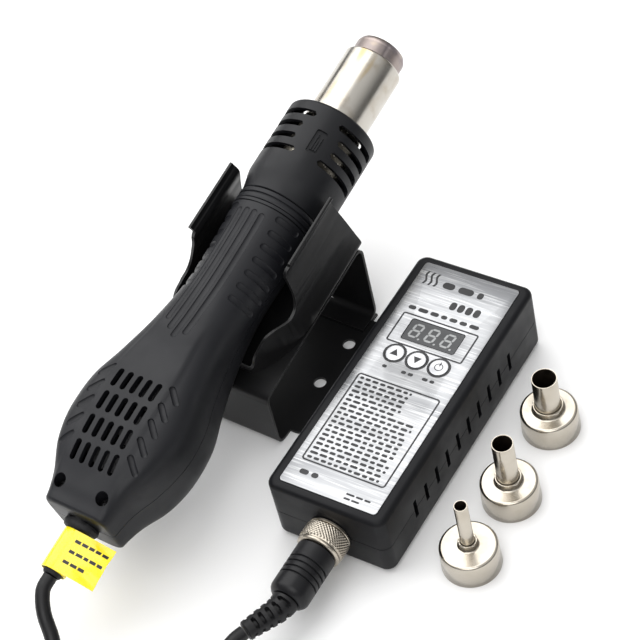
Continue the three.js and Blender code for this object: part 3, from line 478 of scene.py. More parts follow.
def together(shapes):
    """One shape that holds all of them."""
    whole = bmesh.new()
    for shape in shapes:
        mesh = bpy.data.meshes.new("part")
        shape.to_mesh(mesh)
        shape.free()
        whole.from_mesh(mesh)
        bpy.data.meshes.remove(mesh)
    return whole


def shifted(shape, x=0.0, y=0.0, z=0.0):
    bmesh.ops.translate(shape, vec=(x, y, z), verts=shape.verts)
    return shape


def helper_object(name, shape):
    bmesh.ops.recalc_face_normals(shape, faces=shape.faces)
    mesh = bpy.data.meshes.new(name)
    shape.to_mesh(mesh)
    shape.free()
    helper = bpy.data.objects.new(name, mesh)
    bpy.context.collection.objects.link(helper)
    return helper


def combined(shape, others, operation="DIFFERENCE"):
    """The shape with the other shapes cut out of it, joined to it or kept in common."""
    body = helper_object("body", shape)
    tool = helper_object("tool", together(others))
    modifier = body.modifiers.new("combine", "BOOLEAN")
    modifier.operation = operation
    modifier.solver = "EXACT"
    modifier.use_self = operation != "INTERSECT" and len(others) > 1
    modifier.object = tool
    result = bmesh.new()
    evaluated = body.evaluated_get(bpy.context.evaluated_depsgraph_get())
    result.from_mesh(evaluated.to_mesh())
    for helper in (body, tool):
        mesh = helper.data
        bpy.data.objects.remove(helper)
        bpy.data.meshes.remove(mesh)
    bmesh.ops.remove_doubles(result, verts=result.verts, dist=0.002)
    return result


def softened(shape, width, sharp=40):
    """The shape with its sharp edges rounded."""
    edges = [edge for edge in shape.edges
             if len(edge.link_faces) == 2 and edge.calc_face_angle(0) > radians(sharp)]
    bmesh.ops.bevel(shape, geom=edges, offset=width, segments=2, profile=0.5, affect="EDGES",
                    clamp_overlap=True)
    return shape


def mark_bore(shape, radius, along):
    """Gives an upright shape's inner faces, within a radius and above a height, a second finish."""
    bmesh.ops.recalc_face_normals(shape, faces=shape.faces)
    for face in shape.faces:
        middle = face.calc_center_median()
        inwards = middle.x * face.normal.x + middle.y * face.normal.y < 0
        if inwards and hypot(middle.x, middle.y) < radius and middle.z > along:
            face.material_index = 1
    return shape


def add_piece(name, shape, place, body, slot, nodes=(), material=None, crease=32, bore=None):
    """Puts a shape in the scene: it rides on a body and stands for its CAD nodes."""
    bmesh.ops.transform(shape, matrix=place, verts=shape.verts)
    bmesh.ops.recalc_face_normals(shape, faces=shape.faces)
    mesh = bpy.data.meshes.new(name)
    shape.to_mesh(mesh)
    shape.free()
    mesh.shade_smooth()
    mesh.set_sharp_from_angle(angle=radians(crease))
    mesh.materials.append(material or FINISHES[slot])
    if bore:
        mesh.materials.append(bore)
    piece = bpy.data.objects.new(name, mesh)
    bpy.context.collection.objects.link(piece)
    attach(piece, body)
    if nodes:
        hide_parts(*nodes)
    return piece


def smooth(share):
    share = min(max(share, 0), 1)
    return share * share * (3 - 2 * share)


def catmull(points, steps):
    """A smooth line through the points, with `steps` stretches between each two."""
    ends = [points[0] * 2 - points[1], *points, points[-1] * 2 - points[-2]]
    line = []
    for a, b, c, d in zip(ends, ends[1:], ends[2:], ends[3:]):
        for step in range(steps):
            t = step / steps
            line.append(0.5 * (2 * b + (c - a) * t + (2 * a - 5 * b + 4 * c - d) * t**2
                               + (3 * b - a - 3 * c + d) * t**3))
    line.append(points[-1])
    return line


# ---- cable

# The route from the bush on the handle down to the coil, and from the coil to the plug.
CABLE_FROM_HANDLE = [
    (-58.9, -138.4, 29.9), (-55.2, -145, 25.4), (-49, -150.8, 19.5), (-44.4, -157.5, 13.6),
    (-43, -164.5, 8.8), (-44.2, -170.2, 6), (-46.2, -175, 4.7),
]
CABLE_TO_PLUG = [
    (23.8, -176.7, 9), (23.4, -169.4, 7.4), (22, -160.4, 5.6), (19.6, -150.4, 5.2),
    (16.8, -140.4, 7.6), (15.1, -132, 11.6), (14.7, -125.4, 14.4), (15.9, -119.6, 15.7),
    (17.7, -115.4, 16),
]


def coil_points():
    """Three and a half turns: outer and inner below, then inner and outer on top."""
    points = []
    for degrees in range(180, 1441, 15):
        inwards = smooth((degrees - 480) / 60) - smooth((degrees - 1080) / 60)
        radius = 36.1 - 6.2 * inwards
        height = 3.3 + 6.2 * smooth((degrees - 780) / 60)
        angle = radians(degrees)
        points.append((COIL_X + radius * cos(angle), COIL_Y + radius * sin(angle), height))
    return points


def add_cable(plug_pieces):
    exit_point = HANDLE @ Vector((0, BUSH_END - GAP, 0))
    route = [*CABLE_FROM_HANDLE, *coil_points(), *CABLE_TO_PLUG]
    line = catmull([exit_point] + [Vector(point) * MM for point in route], 4)
    curve = bpy.data.curves.new("handle_cable", "CURVE")
    curve.dimensions = "3D"
    curve.bevel_depth = CABLE_R * MM
    curve.bevel_resolution = 5
    curve.use_fill_caps = True
    spline = curve.splines.new("POLY")
    spline.points.add(len(line) - 1)
    for point, place in zip(spline.points, line):
        point.co = (*place, 1)
    curve.materials.append(FINISHES["cable_jacket"])
    cable = bpy.data.objects.new("handle_cable", curve)
    bpy.context.collection.objects.link(cable)
    length = sum((b - a).length for a, b in zip(line, line[1:]))
    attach(cable, "station_base")
    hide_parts("cable_handle_side", "cable_coil", "cable_plug_side")


# ---- connector

def knurled(radius, along, angle):
    """Diamond knurling, only on the nut's outer face."""
    if radius < NUT_R - 0.1:
        return 0
    lean, turn = (along - NUT_START) * pi / KNURL_STEP, KNURLS * angle
    return -KNURL_DEPTH * (2 + cos(turn + lean) + cos(turn - lean))


def add_coupling_nut():
    start, end = NUT_START, NUT_START - NUT_L
    profile = [
        (8.4, start), (NUT_R - 0.7, start), (NUT_R - 0.2, start - 0.4),
        *((NUT_R, start - 0.6 - KNURL_STEP / 4 * row) for row in range(33)),
        (NUT_R - 0.6, end + 2.1), (NUT_R - 0.7, end + 1.7), (NUT_R - 0.35, end + 1.4),
        (NUT_R - 0.35, end + 0.6), (NUT_R - 1, end), (7.1, end), (7.1, end + 1.2), (8.4, end + 1.6),
    ]
    return add_piece("knurled_coupling_nut", turned(profile, 8 * KNURLS, ripple=knurled), CONNECTOR,
                     "coupling_nut_body", "connector_metal", ["coupling_nut"], crease=50)


def add_plug_body():
    start, end = PLUG_START, PLUG_START - PLUG_L
    profile = [(0, start + 1.5), (6.5, start + 1.5), (6.5, start), (PLUG_R - 0.5, start)]
    profile += [(PLUG_R, start - 0.5)]
    for ring in range(4):
        y = start - 7 - ring * 2.6
        profile += [(PLUG_R, y), (PLUG_R - 0.2, y - 0.2), (PLUG_R - 0.7, y - 0.3)]
        profile += [(PLUG_R - 0.7, y - 0.8), (PLUG_R - 0.2, y - 0.9), (PLUG_R, y - 1.1)]
    profile += [(PLUG_R, end + 3), (PLUG_R - 0.3, end + 2), (PLUG_R - 1.2, end + 0.8)]
    profile += [(PLUG_R - 2.4, end), (0, end)]
    return add_piece("plug_shell", turned(profile, 96), CONNECTOR, "station_base", "plug_plastic",
                     ["plug_body"])


def leaning(shape, start):
    """Bends a shape that runs along -Y from `start` so that its tail leans towards -X."""
    for corner in shape.verts:
        travel = max(start - corner.co.y, 0)
        turn = min(travel, RELIEF_BEND_L) / RELIEF_BEND_R
        past = travel - min(travel, RELIEF_BEND_L)
        reach = RELIEF_BEND_R + corner.co.x
        corner.co.x = reach * cos(turn) - RELIEF_BEND_R - past * sin(turn)
        corner.co.y = start - reach * sin(turn) - past * cos(turn)
    return shape


def add_strain_relief():
    """A sleeve with four columns of long slots; every other column starts half a row later."""
    pitch, facing, core = RELIEF_L / 6, radians(66), 3.9

    def slots(radius, along, angle):
        for column in range(4 if radius >= core else 0):
            travel = (RELIEF_START - along) / pitch - 0.35 - 0.5 * (column % 2)
            row = floor(travel)
            aside = remainder(angle - facing - column * pi / 2, 2 * pi)
            open_half = 0.24 * sqrt(max(1 - (aside / SLOT_HALF_TURN) ** 4, 0))
            if 0 <= row < SLOT_ROWS and abs(travel - row - 0.35) < open_half:
                return -SLOT_DEPTH
        return 0

    profile = [(0, RELIEF_START), (5.3, RELIEF_START)]
    for step in range(85):
        travel = 0.3 + (RELIEF_L - 0.8) * step / 84
        profile.append((5.7 - 0.08 * travel, RELIEF_START - travel))
    profile += [(3.7, RELIEF_START - RELIEF_L), (0, RELIEF_START - RELIEF_L)]
    shape = leaning(turned(profile, 120, ripple=slots), RELIEF_START)
    return add_piece("slotted_strain_relief", shape, CONNECTOR, "station_base", "relief_rubber",
                     ["plug_strain_relief"])


def add_panel_socket():
    end = -CASE_L / 2
    profile = [(0, end + 9), (7.2, end + 9), (7.2, end - GAP), (9.0, end - GAP), (9.2, end - 0.5)]
    profile += [(9.2, end - 1.2), (9.0, end - 1.4), (8, end - 1.4)]
    for turn in range(9):
        y = end - 1.6 - turn * 0.76
        profile += [(8, y), (7.6, y - 0.38)]
    profile += [(7.9, end - 8.5), (6.9, end - 8.5), (6.9, end - 1.5), (0, end - 1.5)]
    add_piece("threaded_socket", turned(profile, 72), CONNECTOR, "station_base",
              "connector_metal", ["panel_socket"])


def add_mains_gland():
    """A ribbed rubber gland, bored for the mains lead that is left out."""
    end = CASE_L / 2
    profile = [(2.6, end - 7), (6.2, end - 7), (6.4, end - 6.8), (6.4, end - CASE_WALL - GAP)]
    profile += [(5.1, end - CASE_WALL - GAP), (5.1, end + GAP), (6.6, end + GAP)]
    for rib in range(3):
        y = end + 0.6 + rib * 1.15
        radius = 6.7 - rib * 0.2
        profile += [(radius, y), (radius, y + 0.6), (radius - 0.6, y + 0.75), (radius - 0.6, y + 1)]
    profile += [(5.6, end + 4), (2.8, end + 4), (2.6, end + 3.8)]
    place = UNIT @ at(0, 0, CASE_SPLIT)
    add_piece("ribbed_mains_gland", turned(profile, 64), place, "station_base", "gland_rubber",
              ["mains_gland"])


# ---- control unit

def case_body():
    """The outside of the whole case, and the cutters for its inside and its side vents."""
    rings = []
    for degrees in range(0, 91, 15):
        turn = radians(degrees)
        inset = CASE_EDGE * (1 - sin(turn))
        rings.append((CASE_BOTTOM + CASE_EDGE * (1 - cos(turn)), inset))
    rings += [(CASE_TOP + CASE_BOTTOM - height, inset) for height, inset in reversed(rings)]
    outer = loft([
        [(x, y, height) for x, y in
         rounded_rect(CASE_W - 2 * inset, CASE_L - 2 * inset, CASE_CORNER - 0.6 * inset, 8)]
        for height, inset in rings
    ])
    wall = 2 * CASE_WALL
    inner = prism(rounded_rect(CASE_W - wall, CASE_L - wall, CASE_CORNER - CASE_WALL),
                  CASE_BOTTOM + CASE_WALL, CASE_TOP - CASE_WALL - 0.6)
    cutters = [inner]
    for i in range(VENT_COUNT):
        y = (i - (VENT_COUNT - 1) / 2) * VENT_PITCH - 2
        low = CASE_SPLIT - VENT_H / 2
        cutters.append(block((20, y - VENT_W / 2, low), (40, y + VENT_W / 2, low + VENT_H)))
    return outer, cutters


def round_bore(radius, start, end, x, z):
    bore = turned([(0, start), (radius, start), (radius, end), (0, end)], 48)
    return shifted(bore, x, 0, z)


def add_case_half(name, node, *cutters):
    """Half of the case, with the bores for the socket and the gland cut from its end walls."""
    outer, hollows = case_body()
    bores = [round_bore(SOCKET_BORE_R, -CASE_L, -CASE_L / 2 + 10, PLUG_X, PLUG_Z),
             round_bore(GLAND_BORE_R, CASE_L / 2 - 10, CASE_L, 0, CASE_SPLIT)]
    add_piece(name, combined(outer, [*hollows, *cutters, *bores]), UNIT, "station_base",
              "case_plastic", [node])


def add_case():
    """Two shells; the upper one has the label's recess and holes for the display and buttons."""
    recess = prism(rounded_rect(LABEL_W + 2 * GAP, LABEL_L + 2 * GAP, 1.8), CASE_TOP - 0.6, 40)
    window = rounded_rect(DISPLAY_W + 2 * GAP, DISPLAY_L + 2 * GAP, 1)
    add_case_half("case_top_half", "upper_case",
                  block((-60, -90, -5), (60, 90, CASE_SPLIT + GAP / 2)), recess,
                  prism(moved(window, 0, DISPLAY_Y), 28, 40),
                  *(rod(BUTTON_R + GAP, 28, 40, x, BUTTON_Y) for x in BUTTON_X.values()))
    add_case_half("case_bottom_half", "lower_case",
                  block((-60, -90, CASE_SPLIT - GAP / 2), (60, 90, 60)),
                  *(rod(3.1, -5, 5, x, y) for x, y in SCREW_SPOTS))


def add_label():
    plate = prism(rounded_rect(LABEL_W, LABEL_L, 1.5), CASE_TOP - 0.3, LABEL_TOP)
    window = moved(rounded_rect(DISPLAY_W + GAP, DISPLAY_L + GAP, 1), 0, DISPLAY_Y)
    holes = [prism(window, 30, 40)]
    holes += [rod(BUTTON_R + GAP, 30, 40, x, BUTTON_Y) for x in BUTTON_X.values()]
    shape = softened(combined(plate, holes), 0.08)
    add_piece("label_plate", shape, UNIT, "station_base", "label_metal", ["front_label"])


def frame_line(width, length, radius, line):
    """A printed rounded frame: a thin closed band."""
    outer = rounded_rect(width, length, radius)
    inner = rounded_rect(width - 2 * line, length - 2 * line, radius - line)
    levels = [(outer, PRINT_LOW), (outer, PRINT_HIGH), (inner, PRINT_HIGH), (inner, PRINT_LOW)]
    return loft([[(x, y, z) for x, y in ring] for ring, z in levels], "loop")


def ring_line(radius, line, z=0.0):
    low, high = PRINT_LOW + z, PRINT_HIGH + z
    profile = [(radius - line, low), (radius, low), (radius, high), (radius - line, high)]
    return turned(profile, 64, upright=True)


def dash(x, y, width, height, z=0.0):
    """A printed dash with rounded ends."""
    outline = moved(rounded_rect(width, height, min(width, height) * 0.45, 3), x, y)
    return prism(outline, PRINT_LOW + z, PRINT_HIGH + z)


def dashed_row(left, right, y, height, seed, longest=5.2):
    """Word-like dashes between two ends, which stand in for a line of print."""
    shapes, x, step = [], left, 0
    while x < right - 1:
        share = 0.5 + 0.5 * noise.noise(Vector((seed * 3.7, step * 1.9, 0.5)))
        width = min(1.2 + (longest - 1.2) * share, right - x)
        shapes.append(dash(x + width / 2, y, width, height))
        x += width + 0.5 * height + 0.2
        step += 1
    return shapes


def warm_air_mark(x, y, size):
    """Three rising waves, the usual sign for warm air."""
    shapes = []
    for column in (-1, 0, 1):
        left, right = [], []
        for step in range(13):
            share = step / 12
            middle = x + column * size * 0.36 + size * 0.09 * sin(2 * pi * share)
            height = y + size * (share - 0.5)
            left.append((middle - size * 0.07, height))
            right.append((middle + size * 0.07, height))
        shapes.append(prism(left + right[::-1], PRINT_LOW, PRINT_HIGH))
    return shapes


def add_label_print():
    """Frames, dashes and plain marks, in place of the name, the model and the text."""
    shapes = warm_air_mark(-15.6, 54, 7)
    shapes += dashed_row(-9.5, 9.5, 53, 3.4, 21, 9)
    shapes += [dash(5.7 + step * 3.7, 43.9, 2.9, 4.3) for step in (-1.5, -0.5, 0.5, 1.5)]
    shapes += dashed_row(-17.3, 17.2, 37.1, 2.0, 1, 6.5)
    shapes.append(shifted(frame_line(35.6, 16.4, 1.2, 0.75), 0, 25.8))
    shapes += [shifted(ring_line(BUTTON_R + 0.95, 0.8), x, BUTTON_Y) for x in BUTTON_X.values()]
    for x, width in zip(BUTTON_X.values(), (3.4, 6.2, 7.4)):
        shapes += dashed_row(x - width / 2, x + width / 2, 5.0, 1.5, x, 3.4)
    shapes.append(shifted(frame_line(38.4, 47.6, 1.6, 0.75), 0, -25.6))
    for row in range(19):
        share = 0.5 + 0.5 * noise.noise(Vector((row * 2.3, 4.1, 0)))
        right = (8 if row < 6 else 17) - 3 * share
        shapes += dashed_row(-17.4, right, -4.0 - row * 2.4, 1.25, row + 5, 4.0)
    shapes += dashed_row(-16.5, -8, -54.6, 2.4, 31)
    shapes += dashed_row(6.5, 17.5, -57.2, 0.9, 37)
    shapes += dashed_row(6.5, 15, -59.4, 0.9, 39)
    add_piece("label_print", together(shapes), UNIT, "station_base", "label_metal",
              material=PRINT_INK)


def digit(x, y, width, height, line, base):
    """A seven-segment figure with all its segments lit, and its point."""
    def bar(half, tip, centre, upright):
        outline = [(-half, 0), (-half + tip, tip), (half - tip, tip), (half, 0),
                   (half - tip, -tip), (-half + tip, -tip)]
        if upright:
            outline = [(-across, along) for along, across in outline]
        return prism(moved(outline, *centre), base, base + 0.06)

    middle, tip = height / 2, line / 2
    shapes = [bar(width / 2 - line * 0.62, tip, (0, level * (middle - tip)), False)
              for level in (-1, 0, 1)]
    shapes += [bar(height / 4 - line * 0.4, tip,
                   (side * (width / 2 - tip), level * (middle - tip) / 2), True)
               for side in (-1, 1) for level in (-1, 1)]
    shapes.append(rod(tip, base, base + 0.06, width / 2 + line * 1.1, -middle, 20))
    figure = together(shapes)
    for corner in figure.verts:
        corner.co.x += 0.14 * corner.co.y
    return shifted(figure, x, y)


def add_display():
    top = CASE_TOP + 0.1
    face = prism(moved(rounded_rect(DISPLAY_W - GAP, DISPLAY_L - GAP, 0.6), 0, DISPLAY_Y), 30.6, top)
    add_piece("display_face", softened(face, 0.12), UNIT, "station_base", "display_lens",
              ["display_window"])
    digits = [digit(x, DISPLAY_Y + 0.1, 4.6, 7.6, 0.95, top - 0.02) for x in (-7.9, -0.5, 6.9)]
    add_piece("display_digits", together(digits), UNIT, "station_base", "display_body",
              material=DIGIT_GREY)


def button_mark(kind):
    """A filled triangle up or down, or the ring and stroke of a power mark."""
    top = CASE_TOP + 0.66 - LABEL_TOP
    if kind == "setup":
        return together([ring_line(1.9, 0.4, top), dash(0, 1.6, 0.5, 2.2, top)])
    sign = 1 if kind == "up" else -1
    outline = [(-1.9, -1.3 * sign), (1.9, -1.3 * sign), (0, 2.0 * sign)][::sign]
    return prism(outline, PRINT_LOW + top, PRINT_HIGH + top)


def add_buttons():
    rim = CASE_TOP + 0.7
    for kind, x in BUTTON_X.items():
        place = UNIT @ at(x, BUTTON_Y, 0)
        profile = [(0, 28.5), (1.6, 28.5), (5, 29.4), (5, 30.2), (BUTTON_R, 30.3)]
        profile += [(BUTTON_R, rim - 0.35), (BUTTON_R - 0.1, rim - 0.12), (BUTTON_R - 0.35, rim)]
        profile += [(BUTTON_R - 0.8, rim - 0.01), (0, rim - 0.03)]
        body = f"button_{kind}_body"
        add_piece(f"button_{kind}_cap", turned(profile, 72, upright=True), place, body,
                  "button_cap", [f"button_{kind}"])
        add_piece(f"button_{kind}_mark", button_mark(kind), place, body, "button_cap",
                  material=PRINT_INK)


def cross_head(radius, thickness, stem, length):
    """A pan-head screw, head up at z 0, with a cross recess and a threaded stem."""
    profile = [(0, -length), (stem * 0.5, -length + 0.6)]
    turns = int((length - thickness - 1) / 0.7)
    for turn in range(turns):
        z = -length + 0.9 + turn * 0.7
        profile += [(stem, z), (stem * 0.82, z + 0.35)]
    profile += [(stem, -thickness), (radius, -thickness), (radius, -0.45 * thickness)]
    profile += [(radius * 0.86, -0.15 * thickness), (radius * 0.5, 0), (0, 0)]
    head = turned(profile, 40, upright=True)
    wide, thin = radius * 0.6, radius * 0.14
    arms = [block((-wide, -thin, -0.6 * thickness), (wide, thin, 1)),
            block((-thin, -wide, -0.6 * thickness), (thin, wide, 1))]
    return combined(head, arms)


def add_screws():
    flip = Matrix.Rotation(pi, 4, "X")
    for i, (x, y) in enumerate(SCREW_SPOTS, 1):
        place = UNIT @ at(x, y, 2) @ flip
        add_piece(f"cross_head_case_screw_{i}", cross_head(2.6, 1.6, 1.3, 24), place,
                  "station_base", "screw_steel", [f"case_screw_{i}"])
        foot = [(0, 0), (3.9, 0), (4.3, 0.15), (4.5, 0.45), (4.5, 0.7), (4.3, 0.9), (0, 0.9)]
        add_piece(f"dished_foot_{i}", turned(foot, 48, upright=True),
                  UNIT @ at(x, y, 0), "station_base", "foot_rubber",
                  [f"rubber_foot_{i}"])
    for i, x in enumerate((-GRIP_SCREW_X, GRIP_SCREW_X), 1):
        place = HANDLE @ at(x, GRIP_SCREW_ALONG, 10.9)
        add_piece(f"cross_head_grip_screw_{i}", cross_head(2.4, 1.6, 1.3, 19), place, "handle",
                  "screw_steel", [f"grip_screw_{i}"], material=BLACK_OXIDE)
    for i, along in enumerate(CRADLE_SCREWS, 1):
        place = HANDLE @ at(0, along, CRADLE_FLOOR + GAP + 1.4)
        add_piece(f"cross_head_cradle_screw_{i}", cross_head(2.8, 1.4, 1.5, 10), place,
                  "station_base", "screw_steel", [f"cradle_screw_{i}"])


def add_nozzles():
    """Drawn cups with a pressed collar, and an outlet tube crimped into each."""
    for name, (x, y, tube_r, height) in NOZZLES.items():
        place = UNIT @ at(x, y, 0)
        collar = tube_r + 1.1

        def crimped(radius, along, angle, collar=collar):
            near = abs(radius - collar) < 0.15 and along > CUP_H + 0.2
            return 0.16 * noise.noise(Vector((4 * cos(angle), 4 * sin(angle), along))) \
                if near else 0

        roof = CUP_H - 0.6
        cup = [(CUP_BORE_R, 0.1), (CUP_BORE_R + 0.1, 0), (CUP_MOUTH_R - 0.1, 0)]
        cup += [(CUP_MOUTH_R, 0.12), (CUP_TOP_R + 0.02, CUP_H - 1.6)]
        cup += arc((CUP_TOP_R - 1.4, CUP_H - 1.4), 1.4, 0, 90, 8)
        cup += [(collar + 0.7, CUP_H), (collar + 0.25, CUP_H + 0.12), (collar, CUP_H + 0.5)]
        cup += [(collar, CUP_H + 2.6), (collar - 0.15, CUP_H + 3.1), (collar - 0.4, CUP_H + 3.2)]
        cup += [(tube_r + 0.3, CUP_H + 3.0), (tube_r + 0.3, roof), (CUP_BORE_R - 0.6, roof)]
        cup += [(CUP_BORE_R, roof - 0.6)]
        add_piece(f"{name}_shell", turned(cup, 96, upright=True, ripple=crimped), place, name,
                  "nozzle_steel", [f"{name}_cup"], crease=50)
        low, top = CUP_H - 2.6, CUP_H + height
        tube = [(tube_r - 0.5, low), (tube_r + 1.4, low), (tube_r + 1.4, low + 1.6)]
        tube += [(tube_r, low + 1.6), (tube_r, top - 0.12), (tube_r - 0.1, top)]
        tube += [(tube_r - 0.4, top), (tube_r - 0.5, top - 0.12)]
        # Painted shade: the inner faces of each outlet's bore take the near-black material.
        shape = mark_bore(turned(tube, 72, upright=True), tube_r, low)
        add_piece(f"{name}_outlet", shape, place, name, "nozzle_steel", [f"{name}_tube"],
                  crease=50, bore=BORE_PAINTED_SHADE)


# ---- handle

# Along the axis, half width and half height of the grip, from its tail to the guard.
GRIP_LINE = catmull([Vector(row) for row in [
    (-154, 15.4, 13.4), (-148, 16.4, 14.6), (-141, 18.4, 16.6), (-130, 23.3, 19.9),
    (-116, 26.6, 21.8), (-101, 25.9, 22), (-86, 21.8, 20.4), (-68, 18.5, 18.6), (-44, 17, 17),
    (-20, 17.5, 17.3), (-4, 18.5, 18.5),
]], 8)
EDGE_R = 1.5


def grip_size(along):
    """Half width, half height and squareness of the grip's section."""
    for a, b in zip(GRIP_LINE, GRIP_LINE[1:]):
        if along <= b.x:
            break
    row = a.lerp(b, min(max((along - a.x) / (b.x - a.x), 0), 1))
    bulge, tail = 1 - smooth((along + 100) / 60), 1 - smooth((along + 140) / 30)
    return row.y, row.z, 2.1 + 1.9 * bulge + 1.6 * tail


def band_lift(along, x):
    """The slightly raised band that carries the intake vents."""
    wide = 13.4 - 3.6 * smooth((along + 98) / 34)
    length = smooth((along + 151) / 6) * smooth((-62 - along) / 14)
    return 0.55 * length * (1 - smooth((abs(x) - wide) / 1.8))


def grip_ring(along, inset, segments):
    wide, high, square = grip_size(along)
    ring = []
    for step in range(segments):
        angle = 2 * pi * step / segments
        cosine, sine = cos(angle), sin(angle)
        reach = (abs(cosine / (wide - inset)) ** square
                 + abs(sine / (high - inset)) ** square) ** (-1 / square)
        x, z = reach * cosine, reach * sine
        if z > 2 and not inset:
            z += band_lift(along, x)
        ring.append((x, along, z))
    return ring


def grip_body():
    rings = []
    for degrees in range(0, 90, 15):
        turn = radians(degrees)
        along = GRIP_END + EDGE_R * (1 - cos(turn))
        rings.append(grip_ring(along, EDGE_R * (1 - sin(turn)) + 1e-4, 168))
    start, rows = GRIP_END + EDGE_R, 110
    rings += [grip_ring(start + (-4 - start) * row / rows, 0, 168) for row in range(rows + 1)]
    return loft(rings)


def grip_hollow():
    rows = 24
    return loft([grip_ring(-136 + 133 * row / rows, GRIP_WALL, 48) for row in range(rows + 1)])


def grip_spot(along, x):
    """A point on the grip's upper surface, and the way out of the surface there."""
    def height(s, h):
        wide, high, square = grip_size(s)
        return high * max(1 - abs(h / wide) ** square, 0) ** (1 / square) + band_lift(s, h)

    level = height(along, x)
    slope_x = (height(along, x + 0.05) - height(along, x - 0.05)) / 0.1
    slope_y = (height(along + 0.05, x) - height(along - 0.05, x)) / 0.1
    return Vector((x, along, level)), Vector((-slope_x, -slope_y, 1)).normalized()


def groove(path, half_width, depth):
    """A cutter with rounded ends that follows (point, way out) pairs on a surface."""
    points = [point for point, out in path]
    ways = [(after - before).normalized()
            for before, after in zip([points[0], *points], [*points[1:], points[-1]])]

    def rounded_end(index, sign, angles):
        for turn in map(radians, angles):
            push = ways[index] * sign * half_width * sin(turn)
            yield points[index] + push, path[index][1], ways[index], cos(turn)

    stations = list(rounded_end(0, -1, (75, 60, 40, 20)))
    stations += [(point, out, way, 1) for (point, out), way in zip(path, ways)]
    stations += rounded_end(-1, 1, (20, 40, 60, 75))
    rings = []
    for point, out, way, size in stations:
        side = way.cross(out).normalized() * half_width * size
        rise = out * depth * size
        rings.append([point + side * x + rise * y for x, y in arc((0, 0), 1, 0, 345, 23)])
    return loft(rings)


def grip_marks():
    """Finger grooves, side marks and the long channels pressed into the upper shell."""
    marks = []
    for x, start, end in CHANNELS:
        path = [grip_spot(start + (end - start) * i / 30, x) for i in range(31)]
        marks.append(groove(path, 1.4, 0.55))
    for side in (-1, 1):
        for i in range(7):
            along = -8.4 - 6.5 * i
            path = [grip_spot(along, side * (10.6 + 6.1 * j / 12)) for j in range(13)]
            marks.append(groove(path, 1.5, 0.6))
        for along in DIMPLES:
            path = [grip_spot(along + 2.2 - 4.4 * j / 4, side * (14.6 + 4.2 * j / 4))
                    for j in range(5)]
            marks.append(groove(path, 1.4, 0.9))
    return marks


def stadium(width, length, steps=8):
    return rounded_rect(width, length, width / 2 - 0.001, steps)


def grip_seats():
    """Cutters both shells share: the guard's mouth, the bush's seat and the line at the neck."""
    mouth = turned([(0, -9), (16.3, -9), (16.3, 0), (0, 0)], 64)
    seat = turned([(0, GRIP_END - 5), (6.5, GRIP_END - 5), (6.5, GRIP_END + 4), (0, GRIP_END + 4)])
    line = turned([(17.9, -5.7), (20, -6.0), (20, -5.0), (17.9, -5.3)], 96)
    return [grip_hollow(), mouth, seat, line]


def add_grip():
    """Two moulded shells that meet on a fine parting line."""
    side = 60
    cutters = [*grip_seats(), block((-side, -200, -side), (side, 20, GAP / 2))]
    for row in range(4):
        for column in range(-2, 3):
            along = VENT_MIDDLE + (row - 1.5) * VENT_ROW
            intake = moved(stadium(INTAKE_W, INTAKE_L), column * INTAKE_STEP, along)
            cutters.append(prism(intake, 10, 30))
    for x in (-GRIP_SCREW_X, GRIP_SCREW_X):
        cutters.append(rod(2.8, 9, 30, x, GRIP_SCREW_ALONG))
    cutters += grip_marks()
    upper = combined(grip_body(), cutters)
    lower = combined(grip_body(), [*grip_seats(), block((-side, -200, -GAP / 2), (side, 20, side))])
    for half, shape in (("upper", upper), ("lower", lower)):
        add_piece(f"grip_{half}_moulding", shape, HANDLE, "handle", "grip_plastic",
                  [f"grip_{half}_shell"], crease=28)


def add_neck_ring():
    r = RING_R
    profile = [(15.6, -3.7), (r - 0.7, -3.7), (r - 0.2, -3.5), (r, -3.1), (r, -1.7)]
    profile += [(r - 0.2, -1.45), (r - 0.7, -1.35), (r - 0.7, -0.85), (r - 0.2, -0.75)]
    profile += [(r, -0.5), (r, 0.9), (r - 0.2, 1.25), (r - 0.6, 1.4), (15.6, 1.4)]
    add_piece("ribbed_neck_ring", turned(profile, 120), HANDLE, "handle", "grip_plastic",
              ["neck_ring"])


def arc_slot(along, width, start, end, inner, outer):
    """A cutter that runs round the axis between two angles, with rounded ends."""
    rings, reach, count = [], width / 2, 24
    for step in range(count + 1):
        angle = start + (end - start) * step / count
        edge = min(angle - start, end - angle) * GUARD_R
        half = reach if edge > reach else sqrt(max(reach**2 - (reach - edge) ** 2, 0.01))
        middle = along + reach
        rings.append([
            (radius * cos(angle), middle + side * half, radius * sin(angle))
            for radius, side in ((inner, -1), (inner, 1), (outer, 1), (outer, -1))
        ])
    return loft(rings)


def turned_to(shape, angle):
    """The shape turned about the handle's axis, from +X up by an angle."""
    bmesh.ops.rotate(shape, verts=shape.verts, cent=(0, 0, 0),
                     matrix=Matrix.Rotation(-angle, 3, "Y"))
    return shape


